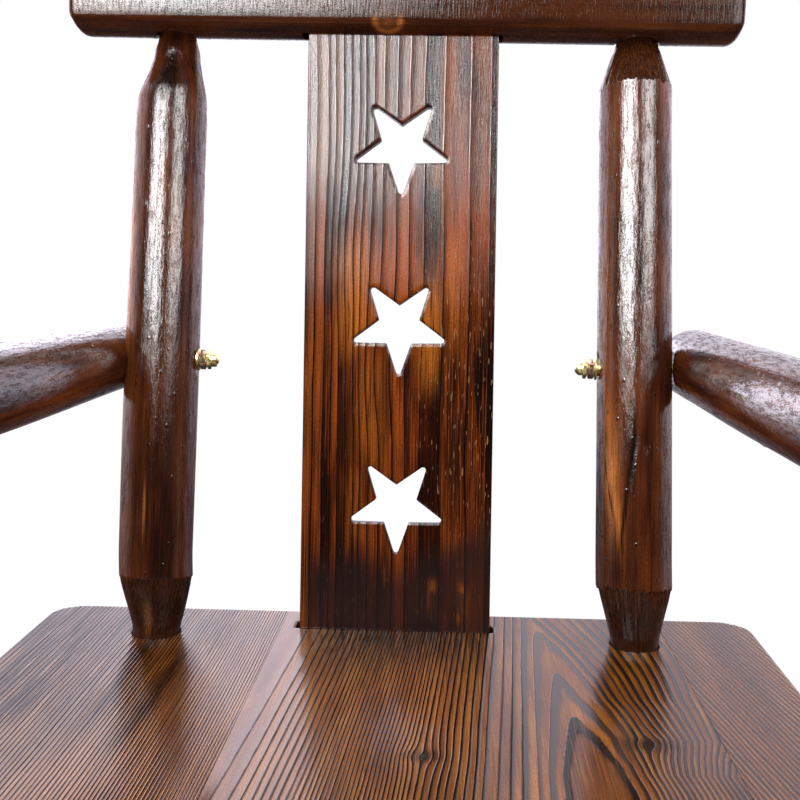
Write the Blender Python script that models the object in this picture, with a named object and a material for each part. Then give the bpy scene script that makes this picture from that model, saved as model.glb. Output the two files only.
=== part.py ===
"""Swivel bar stool made of pencil-tapered logs and planks.

A splayed log base carries a ball-bearing swivel. On the swivel sits a plank seat with
a raked back: two log posts, a splat with three star cut-outs and a slabbed log rail,
and a log armrest bolted to each post. Metres, +Z up, the front of the seat faces -Y.
The origin is on the floor, on the swivel's axis.
"""

import math

import bmesh
import bpy
from mathutils import Matrix, Vector

# Fits
FACE_GAP = 0.0003
TENON_CLEARANCE = 0.0004
RUNNING_GAP = 0.0005
CUT_OVERRUN = 0.010

# Seat boards
SEAT_HEIGHT = 0.760
SEAT_DEPTH = 0.430
SEAT_THICKNESS = 0.038
SEAT_REAR_Y = 0.205
SEAT_CORNER = 0.024
SEAT_EDGE_ROUND = 0.0025
LEFT_BOARD_WIDTH = 0.1847
CENTRE_BOARD_WIDTH = 0.2858
RIGHT_BOARD_WIDTH = 0.0695
SEAT_WIDTH = LEFT_BOARD_WIDTH + CENTRE_BOARD_WIDTH + RIGHT_BOARD_WIDTH

# Cleats that tie the boards together and carry the swivel
CLEAT_THICKNESS = 0.025
CLEAT_WIDTH = 0.070
CLEAT_LENGTH = 0.490
CLEAT_EDGE_ROUND = 0.003
CLEAT_SCREW_LENGTH = 0.045

# Back splat
SPLAT_FRONT_Y = 0.165
SPLAT_WIDTH = 0.143
SPLAT_THICKNESS = 0.013
SPLAT_RAKE = math.radians(6.7)
SPLAT_SEAT_TENON = 0.022
SPLAT_RAIL_TENON = 0.018
SPLAT_EDGE_ROUND = 0.0012
SLOT_END_ROOM = 0.003
STAR_COUNT = 3
STAR_FIRST_HEIGHT = 0.0931
STAR_PITCH = 0.135
STAR_POINT_RADIUS = 0.0392
STAR_INNER_RADIUS = 0.0159
STAR_TIP_ROUND = 0.0016

# Back posts
POST_EDGE_INSET = 0.0935
POST_FORWARD = 0.0154
POST_RAKE = math.radians(11.6)
POST_DIAMETER = 0.056
POST_SHOULDER_DIAMETER = 0.0546
POST_NECK_DIAMETER = 0.035
POST_LOWER_TAPER = 0.036
POST_UPPER_TAPER = 0.030
POST_RAIL_TENON = 0.040

# Top rail: a log slabbed flat at the front
BACK_HEIGHT = 0.4409
RAIL_DIAMETER = 0.110
RAIL_FLAT_OFFSET = 0.0295
RAIL_LENGTH = 0.500
RAIL_TILT = math.radians(0.8)
RAIL_END_ROUND = 0.008

# Arms
ARM_HEIGHT = 0.198
ARM_DIAMETER = 0.054
ARM_LENGTH = 0.475
ARM_REAR_Y = 0.240
ARM_END_ROUND = 0.010
ARM_SADDLE_DEPTH = 0.004
ARM_POST_DIAMETER = 0.050
ARM_POST_NECK_DIAMETER = 0.032
ARM_POST_Y = -0.165
ARM_POST_TAPER = 0.034
ARM_POST_TENON = 0.028

# Arm bolt, washer, hexagon nut and cap nut
BOLT_DIAMETER = 0.008
BOLT_HEAD_DIAMETER = 0.020
BOLT_HEAD_HEIGHT = 0.0045
BOLT_HEAD_SINK = 0.005
SPOT_FACE_DIAMETER = 0.019
SPOT_FACE_DEPTH = 0.0025
SPOT_FACE_ROOM = 0.001
WASHER_DIAMETER = 0.0155
WASHER_THICKNESS = 0.0016
NUT_ACROSS_FLATS = 0.013
NUT_HEIGHT = 0.0050
CAP_NUT_HEX_HEIGHT = 0.0038
CAP_NUT_DOME_DIAMETER = 0.0104
CAP_NUT_DOME_HEIGHT = 0.0072
CAP_NUT_CROWN = 0.0022

# Swivel
SWIVEL_HEIGHT = 0.018
PLATE_SIZE = 0.170
PLATE_THICKNESS = 0.0025
PLATE_CORNER = 0.012
RACE_DIAMETER = 0.120
RACE_WIDTH = 0.016
BALL_DIAMETER = 0.008
BALL_COUNT = 12
CAGE_WIRE_DIAMETER = 0.003
KINGPIN_DIAMETER = 0.012
KINGPIN_HEAD_DIAMETER = 0.026
KINGPIN_HEAD_HEIGHT = 0.006
KINGPIN_DEPTH = 0.026
PLATE_SCREW_SPACING = 0.140
PLATE_SCREW_LENGTH = 0.022
SCREW_DIAMETER = 0.0045
SCREW_HEAD_DIAMETER = 0.0095
SCREW_HEAD_HEIGHT = 0.0028
SCREW_POINT = 0.006

# Base
PLANK_SIZE = 0.360
PLANK_THICKNESS = 0.044
PLANK_CORNER = 0.040
PLANK_EDGE_ROUND = 0.004
LEG_DIAMETER = 0.064
LEG_NECK_DIAMETER = 0.040
LEG_TAPER = 0.046
LEG_TOP_SPACING = 0.260
LEG_FOOT_SPACING = 0.507
RUNG_DIAMETER = 0.050
RUNG_NECK_DIAMETER = 0.028
RUNG_TAPER = 0.038
RUNG_TENON = 0.026
CROSS_RUNG_HEIGHT = 0.215
SIDE_RUNG_HEIGHT = 0.285

# Levels and places that follow from the sizes above
SEAT_BOTTOM = SEAT_HEIGHT - SEAT_THICKNESS
CLEAT_BOTTOM = SEAT_BOTTOM - CLEAT_THICKNESS
PLANK_TOP = CLEAT_BOTTOM - SWIVEL_HEIGHT
PLANK_BOTTOM = PLANK_TOP - PLANK_THICKNESS
SEAT_FRONT_Y = SEAT_REAR_Y - SEAT_DEPTH
LEFT_JOINT_X = -SEAT_WIDTH / 2 + LEFT_BOARD_WIDTH
RIGHT_JOINT_X = SEAT_WIDTH / 2 - RIGHT_BOARD_WIDTH
POST_X = SEAT_WIDTH / 2 - POST_EDGE_INSET
POST_FOOT_Y = SPLAT_FRONT_Y - POST_FORWARD
ARM_Z = SEAT_HEIGHT + ARM_HEIGHT
ARM_X = POST_X + POST_DIAMETER / 2 + ARM_DIAMETER / 2 - ARM_SADDLE_DEPTH
BOLT_Y = POST_FOOT_Y + ARM_HEIGHT * math.tan(POST_RAKE)
SPLAT_MIDDLE_Y = SPLAT_FRONT_Y + SPLAT_THICKNESS / 2 / math.cos(SPLAT_RAKE)
RAIL_Z = SEAT_HEIGHT + BACK_HEIGHT + RAIL_DIAMETER / 2
RAIL_Y = SPLAT_MIDDLE_Y + (RAIL_Z - SEAT_HEIGHT) * math.tan(SPLAT_RAKE)
RAIL_DROP = POST_X * math.tan(RAIL_TILT)
CLEAT_Y = PLATE_SCREW_SPACING / 2
RACE_HEIGHT = (SWIVEL_HEIGHT - BALL_DIAMETER) / 2 + BALL_DIAMETER * 0.15
LEG_SLOPE = (LEG_FOOT_SPACING - LEG_TOP_SPACING) / 2 / PLANK_BOTTOM
SIDES = (("left", -1), ("right", 1))

# Facets round a full turn
POST_SEGMENTS = 24
LOG_SEGMENTS = 20
RUNG_SEGMENTS = 16
RACE_SEGMENTS = 24
METAL_SEGMENTS = 16
SCREW_SEGMENTS = 8


def clear_scene():
    """Removes whatever the scene holds."""
    for item in list(bpy.data.objects):
        bpy.data.objects.remove(item, do_unlink=True)


def make_material(name, colour, roughness, metallic=0.0):
    """Returns a Principled material."""
    material = bpy.data.materials.new(name)
    material.use_nodes = True
    shader = material.node_tree.nodes["Principled BSDF"]
    shader.inputs["Base Color"].default_value = (*colour, 1.0)
    shader.inputs["Roughness"].default_value = roughness
    shader.inputs["Metallic"].default_value = metallic
    return material


def make_object(name, bm, material=None, parent=None, smooth=True):
    """Turns a bmesh into a linked object with outward normals."""
    bmesh.ops.recalc_face_normals(bm, faces=bm.faces)
    mesh = bpy.data.meshes.new(name)
    bm.to_mesh(mesh)
    bm.free()
    if smooth:
        mesh.shade_smooth()
        mesh.set_sharp_from_angle(angle=math.radians(38))
    item = bpy.data.objects.new(name, mesh)
    bpy.context.scene.collection.objects.link(item)
    if material:
        mesh.materials.append(material)
    item.parent = parent
    return item


def spin_profile(points, segments, closed=False):
    """Turns a profile of (radius, height) pairs about Z.

    An open profile starts and ends on the axis; a closed one makes a ring.
    """
    bm = bmesh.new()
    line = [bm.verts.new((radius, 0.0, height)) for radius, height in points]
    edges = [bm.edges.new(pair) for pair in zip(line, line[1:])]
    if closed:
        edges.append(bm.edges.new((line[-1], line[0])))
    bmesh.ops.spin(
        bm,
        geom=line + edges,
        cent=(0.0, 0.0, 0.0),
        axis=(0.0, 0.0, 1.0),
        angle=math.tau,
        steps=segments,
        use_merge=True,
    )
    bmesh.ops.remove_doubles(bm, verts=bm.verts, dist=0.000001)
    return bm


def extrude_outline(outline, bottom, top):
    """Extrudes a closed outline of (x, y) points from one height to another."""
    bm = bmesh.new()
    face = bm.faces.new([bm.verts.new((x, y, bottom)) for x, y in outline])
    sweep = bmesh.ops.extrude_face_region(bm, geom=[face])
    raised = [item for item in sweep["geom"] if isinstance(item, bmesh.types.BMVert)]
    bmesh.ops.translate(bm, verts=raised, vec=(0.0, 0.0, top - bottom))
    return bm


def round_edges(bm, picked, radius, segments):
    """Rounds the edges that a test picks."""
    edges = [edge for edge in bm.edges if picked(edge)]
    bmesh.ops.bevel(
        bm,
        geom=edges,
        offset=radius,
        offset_type="OFFSET",
        segments=segments,
        profile=0.5,
        affect="EDGES",
        clamp_overlap=True,
    )


def sharp_edge(edge):
    """Tells whether two faces meet at a clear corner along an edge."""
    return len(edge.link_faces) == 2 and edge.calc_face_angle(0.0) > math.radians(40)


def rectangle(left, right, front, rear, corners=None, radius=0.0, steps=5):
    """Outlines a rectangle, with the corners named in corners rounded off.

    corners holds any of fl, fr, rr and rl, for front or rear and left or right.
    """
    places = (
        ("fl", left, front, 180),
        ("fr", right, front, 270),
        ("rr", right, rear, 0),
        ("rl", left, rear, 90),
    )
    outline = []
    for name, x, y, start in places:
        if not corners or name not in corners:
            outline.append((x, y))
            continue
        centre_x = x + radius if x == left else x - radius
        centre_y = y + radius if y == front else y - radius
        for step in range(steps + 1):
            angle = math.radians(start + 90 * step / steps)
            outline.append((centre_x + radius * math.cos(angle), centre_y + radius * math.sin(angle)))
    return outline


def star_outline(point_radius, inner_radius, tip_round, steps=4):
    """Outlines a five-pointed star, one point down, with rounded tips."""
    half_turn = math.radians(36)
    across = inner_radius * math.sin(half_turn)
    half_angle = math.atan2(across, point_radius - inner_radius * math.cos(half_turn))
    centre = point_radius - tip_round / math.sin(half_angle)
    spread = math.pi / 2 - half_angle
    outline = []
    for point in range(5):
        aim = -math.pi / 2 + point * math.radians(72)
        for step in range(steps + 1):
            angle = aim - spread + 2 * spread * step / steps
            outline.append(
                (
                    centre * math.cos(aim) + tip_round * math.cos(angle),
                    centre * math.sin(aim) + tip_round * math.sin(angle),
                )
            )
        dip = aim + half_turn
        outline.append((inner_radius * math.cos(dip), inner_radius * math.sin(dip)))
    return outline


def pencil_taper(neck_radius, body_radius, neck_z, shoulder_z, steps=3):
    """Lists the profile of a sharpened log end, from its neck to its shoulder."""
    points = []
    for step in range(steps + 1):
        share = step / steps
        radius = neck_radius + (body_radius - neck_radius) * (0.8 * share + 0.2 * share**2)
        points.append((radius, neck_z + (shoulder_z - neck_z) * share))
    return points


def log_profile(ends, neck_radius, necks, shoulders, shoulder_radius, body_radius):
    """Lists the profile of a log sharpened at both ends.

    Args:
        ends: lowest and highest point on the axis.
        neck_radius: radius of the tenons.
        necks: heights where the lower and upper tapers start.
        shoulders: heights where the tapers reach the bark side.
        shoulder_radius: radius at the shoulders.
        body_radius: radius halfway along.

    Returns:
        The (radius, height) points from bottom to top.
    """
    bottom, top = ends
    points = [(0.0, bottom), (neck_radius, bottom)]
    points += pencil_taper(neck_radius, shoulder_radius, necks[0], shoulders[0])
    length = shoulders[1] - shoulders[0]
    for share in (0.3, 0.7):
        swell = math.sin(math.pi * share)
        radius = shoulder_radius + (body_radius - shoulder_radius) * swell**0.5
        points.append((radius, shoulders[0] + length * share))
    points += reversed(pencil_taper(neck_radius, shoulder_radius, necks[1], shoulders[1]))
    points += [(neck_radius, top), (0.0, top)]
    return points


def aim_matrix(start, end):
    """Returns the placement that puts local Z on the line from start to end."""
    direction = Vector(end) - Vector(start)
    return Matrix.Translation(start) @ direction.to_track_quat("Z", "Y").to_matrix().to_4x4()


def make_cutter(name, bm):
    """Makes an object that only cuts others."""
    cutter = make_object(name, bm, smooth=False)
    cutter.hide_render = True
    cutter.display_type = "WIRE"
    return cutter


def subtract(target, cutter):
    """Cuts one object out of another."""
    modifier = target.modifiers.new(cutter.name, "BOOLEAN")
    modifier.operation = "DIFFERENCE"
    modifier.solver = "EXACT"
    modifier.object = cutter


def bore(target, start, end, radius, segments=METAL_SEGMENTS):
    """Bores a round hole with flat ends from start to end, in world positions."""
    length = (Vector(end) - Vector(start)).length
    bm = spin_profile([(0.0, 0.0), (radius, 0.0), (radius, length), (0.0, length)], segments)
    cutter = make_cutter(f"cut_{target.name}_bore", bm)
    cutter.matrix_world = aim_matrix(start, end)
    subtract(target, cutter)
    return cutter


def cut_level(target, low, high, reach):
    """Saws off everything of an object between two levels."""
    bm = extrude_outline(rectangle(-reach, reach, -reach, reach), low, high)
    subtract(target, make_cutter(f"cut_{target.name}_level", bm))


def post_point(side, along):
    """Returns the point of a back post's axis at a distance from the seat's top."""
    return Vector(
        (
            side * POST_X,
            POST_FOOT_Y + along * math.sin(POST_RAKE),
            SEAT_HEIGHT + along * math.cos(POST_RAKE),
        )
    )


def splat_matrix():
    """Returns the splat's frame: X across, Y through it, Z up its front face."""
    return Matrix.Translation((0.0, SPLAT_FRONT_Y, SEAT_HEIGHT)) @ Matrix.Rotation(-SPLAT_RAKE, 4, "X")


def leg_point(side_x, side_y, height):
    """Returns the point of a leg's axis at a height above the floor."""
    offset = LEG_TOP_SPACING / 2 + (PLANK_BOTTOM - height) * LEG_SLOPE
    return Vector((side_x * offset, side_y * offset, height))


def make_screw(name, tip_to_head, parent, material):
    """Makes a pan-head wood screw; local Z points from its tip to its head."""
    radius = SCREW_DIAMETER / 2
    head = SCREW_HEAD_DIAMETER / 2
    shank_top = tip_to_head
    profile = [
        (0.0, 0.0),
        (radius, SCREW_POINT),
        (radius, shank_top),
        (head, shank_top),
        (head, shank_top + SCREW_HEAD_HEIGHT * 0.45),
        (head * 0.72, shank_top + SCREW_HEAD_HEIGHT * 0.9),
        (0.0, shank_top + SCREW_HEAD_HEIGHT),
    ]
    return make_object(name, spin_profile(profile, SCREW_SEGMENTS), material, parent)


def drive_screw(name, tip, head_seat, parent, material, targets):
    """Puts a screw in place and bores its way through the pieces that it holds."""
    length = (Vector(head_seat) - Vector(tip)).length
    screw = make_screw(name, length, parent, material)
    screw.matrix_world = aim_matrix(tip, head_seat)
    direction = (Vector(head_seat) - Vector(tip)).normalized()
    start = Vector(tip) - direction * FACE_GAP
    end = Vector(head_seat) + direction * CUT_OVERRUN
    for target in targets:
        bore(target, start, end, SCREW_DIAMETER / 2 + FACE_GAP, SCREW_SEGMENTS)
    return screw


def hex_outline(across_flats):
    """Outlines a hexagon with a corner up."""
    corner = across_flats / math.sqrt(3)
    return [
        (corner * math.sin(math.radians(60 * step)), corner * math.cos(math.radians(60 * step)))
        for step in range(6)
    ]


def build_seat(swivel, materials):
    """Makes the three boards and the two cleats under them."""
    spans = {
        "seat_board_left": (-SEAT_WIDTH / 2, LEFT_JOINT_X - FACE_GAP, ("fl", "rl")),
        "seat_board_centre": (LEFT_JOINT_X, RIGHT_JOINT_X, None),
        "seat_board_right": (RIGHT_JOINT_X + FACE_GAP, SEAT_WIDTH / 2, ("fr", "rr")),
    }
    boards = {}
    for name, (left, right, corners) in spans.items():
        outline = rectangle(left, right, SEAT_FRONT_Y, SEAT_REAR_Y, corners, SEAT_CORNER)
        bm = extrude_outline(outline, SEAT_BOTTOM, SEAT_HEIGHT)
        outer = (-SEAT_WIDTH / 2 + SEAT_CORNER, SEAT_WIDTH / 2 - SEAT_CORNER)

        def rim(edge):
            middle = (edge.verts[0].co + edge.verts[1].co) / 2
            level = abs(edge.verts[0].co.z - edge.verts[1].co.z) < 0.0001
            joint = min(abs(middle.x - LEFT_JOINT_X), abs(middle.x - RIGHT_JOINT_X)) < 0.002
            return level and not (joint and outer[0] < middle.x < outer[1])

        round_edges(bm, rim, SEAT_EDGE_ROUND, 2)
        boards[name] = make_object(name, bm, materials["seat"], swivel)

    cleats = {}
    for place, sign in (("front", -1), ("rear", 1)):
        middle = sign * CLEAT_Y
        outline = rectangle(
            -CLEAT_LENGTH / 2, CLEAT_LENGTH / 2, middle - CLEAT_WIDTH / 2, middle + CLEAT_WIDTH / 2
        )
        bm = extrude_outline(outline, CLEAT_BOTTOM, SEAT_BOTTOM - FACE_GAP)
        round_edges(bm, lambda edge: edge.verts[0].co.z + edge.verts[1].co.z < 2 * CLEAT_BOTTOM + 0.0001,
                    CLEAT_EDGE_ROUND, 2)
        name = f"seat_cleat_{place}"
        cleats[place] = make_object(name, bm, materials["plank"], swivel)

    holds = {
        "left": ((-SEAT_WIDTH / 2 + LEFT_JOINT_X) / 2, "seat_board_left"),
        "centre": ((PLATE_SIZE / 2 + RIGHT_JOINT_X) / 2, "seat_board_centre"),
        "right": ((RIGHT_JOINT_X + CLEAT_LENGTH / 2) / 2, "seat_board_right"),
    }
    sink = SCREW_HEAD_HEIGHT + FACE_GAP
    for place, sign in (("front", -1), ("rear", 1)):
        for board, (x, target) in holds.items():
            seat_z = CLEAT_BOTTOM + sink
            tip = (x, sign * CLEAT_Y, seat_z + CLEAT_SCREW_LENGTH)
            drive_screw(
                f"cleat_screw_{place}_{board}",
                tip,
                (x, sign * CLEAT_Y, seat_z),
                swivel,
                materials["steel"],
                (cleats[place], boards[target]),
            )
            bore(
                cleats[place],
                (x, sign * CLEAT_Y, CLEAT_BOTTOM - CUT_OVERRUN),
                (x, sign * CLEAT_Y, seat_z + FACE_GAP),
                SCREW_HEAD_DIAMETER / 2 + FACE_GAP,
                SCREW_SEGMENTS,
            )
    return boards, cleats


def build_splat(swivel, materials, board):
    """Makes the splat with its star cut-outs and cuts its slot in the seat."""
    bottom = -SPLAT_SEAT_TENON / math.cos(SPLAT_RAKE)
    top = (BACK_HEIGHT + SPLAT_RAIL_TENON) / math.cos(SPLAT_RAKE)
    outline = rectangle(-SPLAT_WIDTH / 2, SPLAT_WIDTH / 2, bottom, top)
    bm = extrude_outline(outline, -SPLAT_THICKNESS, 0.0)
    round_edges(bm, sharp_edge, SPLAT_EDGE_ROUND, 2)
    bmesh.ops.transform(bm, matrix=Matrix.Rotation(math.pi / 2, 4, "X"), verts=bm.verts)
    splat = make_object("back_splat", bm, materials["splat"], swivel)
    splat.matrix_world = splat_matrix()

    star = star_outline(STAR_POINT_RADIUS, STAR_INNER_RADIUS, STAR_TIP_ROUND)
    for count in range(STAR_COUNT):
        bm = extrude_outline(star, -SPLAT_THICKNESS - CUT_OVERRUN, CUT_OVERRUN)
        bmesh.ops.transform(bm, matrix=Matrix.Rotation(math.pi / 2, 4, "X"), verts=bm.verts)
        cutter = make_cutter(f"cut_star_{count + 1}", bm)
        height = STAR_FIRST_HEIGHT + STAR_PITCH * count
        cutter.matrix_world = splat_matrix() @ Matrix.Translation((0.0, 0.0, height))
        subtract(splat, cutter)

    subtract(board, slot_cutter("cut_seat_slot", bottom - FACE_GAP, CUT_OVERRUN))
    return splat, top


def slot_cutter(name, low, high):
    """Makes a cutter for a slot round the splat between two heights up its face."""
    half = SPLAT_WIDTH / 2 + SLOT_END_ROOM
    outline = rectangle(
        -half,
        half,
        -TENON_CLEARANCE,
        SPLAT_THICKNESS + TENON_CLEARANCE,
        ("fl", "fr", "rr", "rl"),
        SLOT_END_ROOM,
        4,
    )
    cutter = make_cutter(name, extrude_outline(outline, low, high))
    cutter.matrix_world = splat_matrix()
    return cutter


def build_posts(swivel, materials, boards):
    """Makes the two raked back posts and bores the seat for them."""
    neck = POST_NECK_DIAMETER / 2
    lean = neck * math.tan(POST_RAKE)
    low = -SEAT_THICKNESS / math.cos(POST_RAKE) - lean - CUT_OVERRUN
    high = (BACK_HEIGHT + POST_RAIL_TENON) / math.cos(POST_RAKE)
    neck_low = lean + FACE_GAP
    neck_high = (BACK_HEIGHT - RAIL_DROP) / math.cos(POST_RAKE) - lean - FACE_GAP
    profile = log_profile(
        (low, high),
        neck,
        (neck_low, neck_high),
        (neck_low + POST_LOWER_TAPER, neck_high - POST_UPPER_TAPER),
        POST_SHOULDER_DIAMETER / 2,
        POST_DIAMETER / 2,
    )
    posts = {}
    for name, side in SIDES:
        post = make_object(f"back_post_{name}", spin_profile(profile, POST_SEGMENTS), materials["log"], swivel)
        post.matrix_world = aim_matrix(post_point(side, 0.0), post_point(side, 1.0))
        cut_level(post, SEAT_BOTTOM - SEAT_THICKNESS, SEAT_BOTTOM, SEAT_WIDTH)
        for board in boards.values():
            bore(board, post_point(side, low), post_point(side, -low), neck + TENON_CLEARANCE, POST_SEGMENTS)
        posts[name] = post
    return posts, high


def build_rail(swivel, materials, splat_top, post_top):
    """Makes the slabbed log rail with its post holes and its splat slot."""
    radius = RAIL_DIAMETER / 2
    half_chord = math.acos(RAIL_FLAT_OFFSET / radius)
    steps = POST_SEGMENTS
    outline = []
    for step in range(steps + 1):
        angle = math.pi + half_chord + (math.tau - 2 * half_chord) * step / steps
        outline.append((radius * math.cos(angle), radius * math.sin(angle)))
    bm = extrude_outline(outline, -RAIL_LENGTH / 2, RAIL_LENGTH / 2)
    end = RAIL_LENGTH / 2 - 0.0001

    def rim(edge):
        return all(abs(vert.co.z) > end for vert in edge.verts)

    round_edges(bm, rim, RAIL_END_ROUND, 2)
    # local Z of the extrusion becomes X across the stool, its X becomes depth and its Y height
    turn = Matrix(((0, 0, 1, 0), (1, 0, 0, 0), (0, 1, 0, 0), (0, 0, 0, 1)))
    bmesh.ops.transform(bm, matrix=turn, verts=bm.verts)
    rail = make_object("top_rail", bm, materials["rail"], swivel)
    tilt = Matrix.Rotation(RAIL_TILT, 4, "Y") @ Matrix.Rotation(-SPLAT_RAKE, 4, "X")
    rail.matrix_world = Matrix.Translation((0.0, RAIL_Y, RAIL_Z)) @ tilt
    subtract(rail, slot_cutter("cut_rail_slot", splat_top - SPLAT_RAIL_TENON - 2 * CUT_OVERRUN, splat_top + FACE_GAP))
    for _, side in SIDES:
        bore(
            rail,
            post_point(side, post_top - POST_RAIL_TENON - 2 * CUT_OVERRUN),
            post_point(side, post_top + FACE_GAP),
            POST_NECK_DIAMETER / 2 + TENON_CLEARANCE,
            POST_SEGMENTS,
        )
    return rail


def build_arms(swivel, materials, boards, posts):
    """Makes the armrests, their front posts and the bolts through the back posts."""
    radius = ARM_DIAMETER / 2
    middle_y = ARM_REAR_Y - ARM_LENGTH / 2
    end = ARM_LENGTH / 2
    profile = [(0.0, -end)]
    for step in range(3):
        angle = math.radians(45 * step)
        profile.append(
            (
                radius - ARM_END_ROUND * (1 - math.sin(angle)),
                -end + ARM_END_ROUND * (1 - math.cos(angle)),
            )
        )
    profile += [(shell, -height) for shell, height in reversed(profile)]

    neck = ARM_POST_NECK_DIAMETER / 2
    post_top = ARM_HEIGHT - radius + ARM_POST_TENON
    post_low = -SEAT_THICKNESS - CUT_OVERRUN
    crown = radius - math.sqrt(radius**2 - neck**2)
    neck_high = ARM_HEIGHT - radius - FACE_GAP
    post_profile = log_profile(
        (post_low, post_top),
        neck,
        (FACE_GAP, neck_high),
        (FACE_GAP + ARM_POST_TAPER, neck_high - ARM_POST_TAPER),
        ARM_POST_DIAMETER / 2 - 0.0006,
        ARM_POST_DIAMETER / 2,
    )
    for name, side in SIDES:
        arm = make_object(f"armrest_{name}", spin_profile(profile, LOG_SEGMENTS), materials["log"], swivel)
        arm.matrix_world = aim_matrix((side * ARM_X, middle_y, ARM_Z), (side * ARM_X, middle_y + 1.0, ARM_Z))
        saddle = ARM_DIAMETER / math.cos(POST_RAKE)
        bore(
            arm,
            post_point(side, ARM_HEIGHT - 2 * saddle),
            post_point(side, ARM_HEIGHT + 2 * saddle),
            POST_DIAMETER / 2 + FACE_GAP,
            POST_SEGMENTS,
        )

        front = make_object(
            f"arm_post_{name}", spin_profile(post_profile, LOG_SEGMENTS), materials["log"], swivel
        )
        front.location = (side * ARM_X, ARM_POST_Y, SEAT_HEIGHT)
        cut_level(front, SEAT_BOTTOM - SEAT_THICKNESS, SEAT_BOTTOM, SEAT_WIDTH)
        for board in boards.values():
            bore(
                board,
                (side * ARM_X, ARM_POST_Y, SEAT_BOTTOM - CUT_OVERRUN),
                (side * ARM_X, ARM_POST_Y, SEAT_HEIGHT + CUT_OVERRUN),
                neck + TENON_CLEARANCE,
                LOG_SEGMENTS,
            )
        bore(
            arm,
            (side * ARM_X, ARM_POST_Y, ARM_Z - radius - crown - CUT_OVERRUN),
            (side * ARM_X, ARM_POST_Y, SEAT_HEIGHT + post_top + FACE_GAP),
            neck + TENON_CLEARANCE,
            LOG_SEGMENTS,
        )
        build_arm_bolt(name, side, swivel, materials, arm, posts[name])


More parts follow.
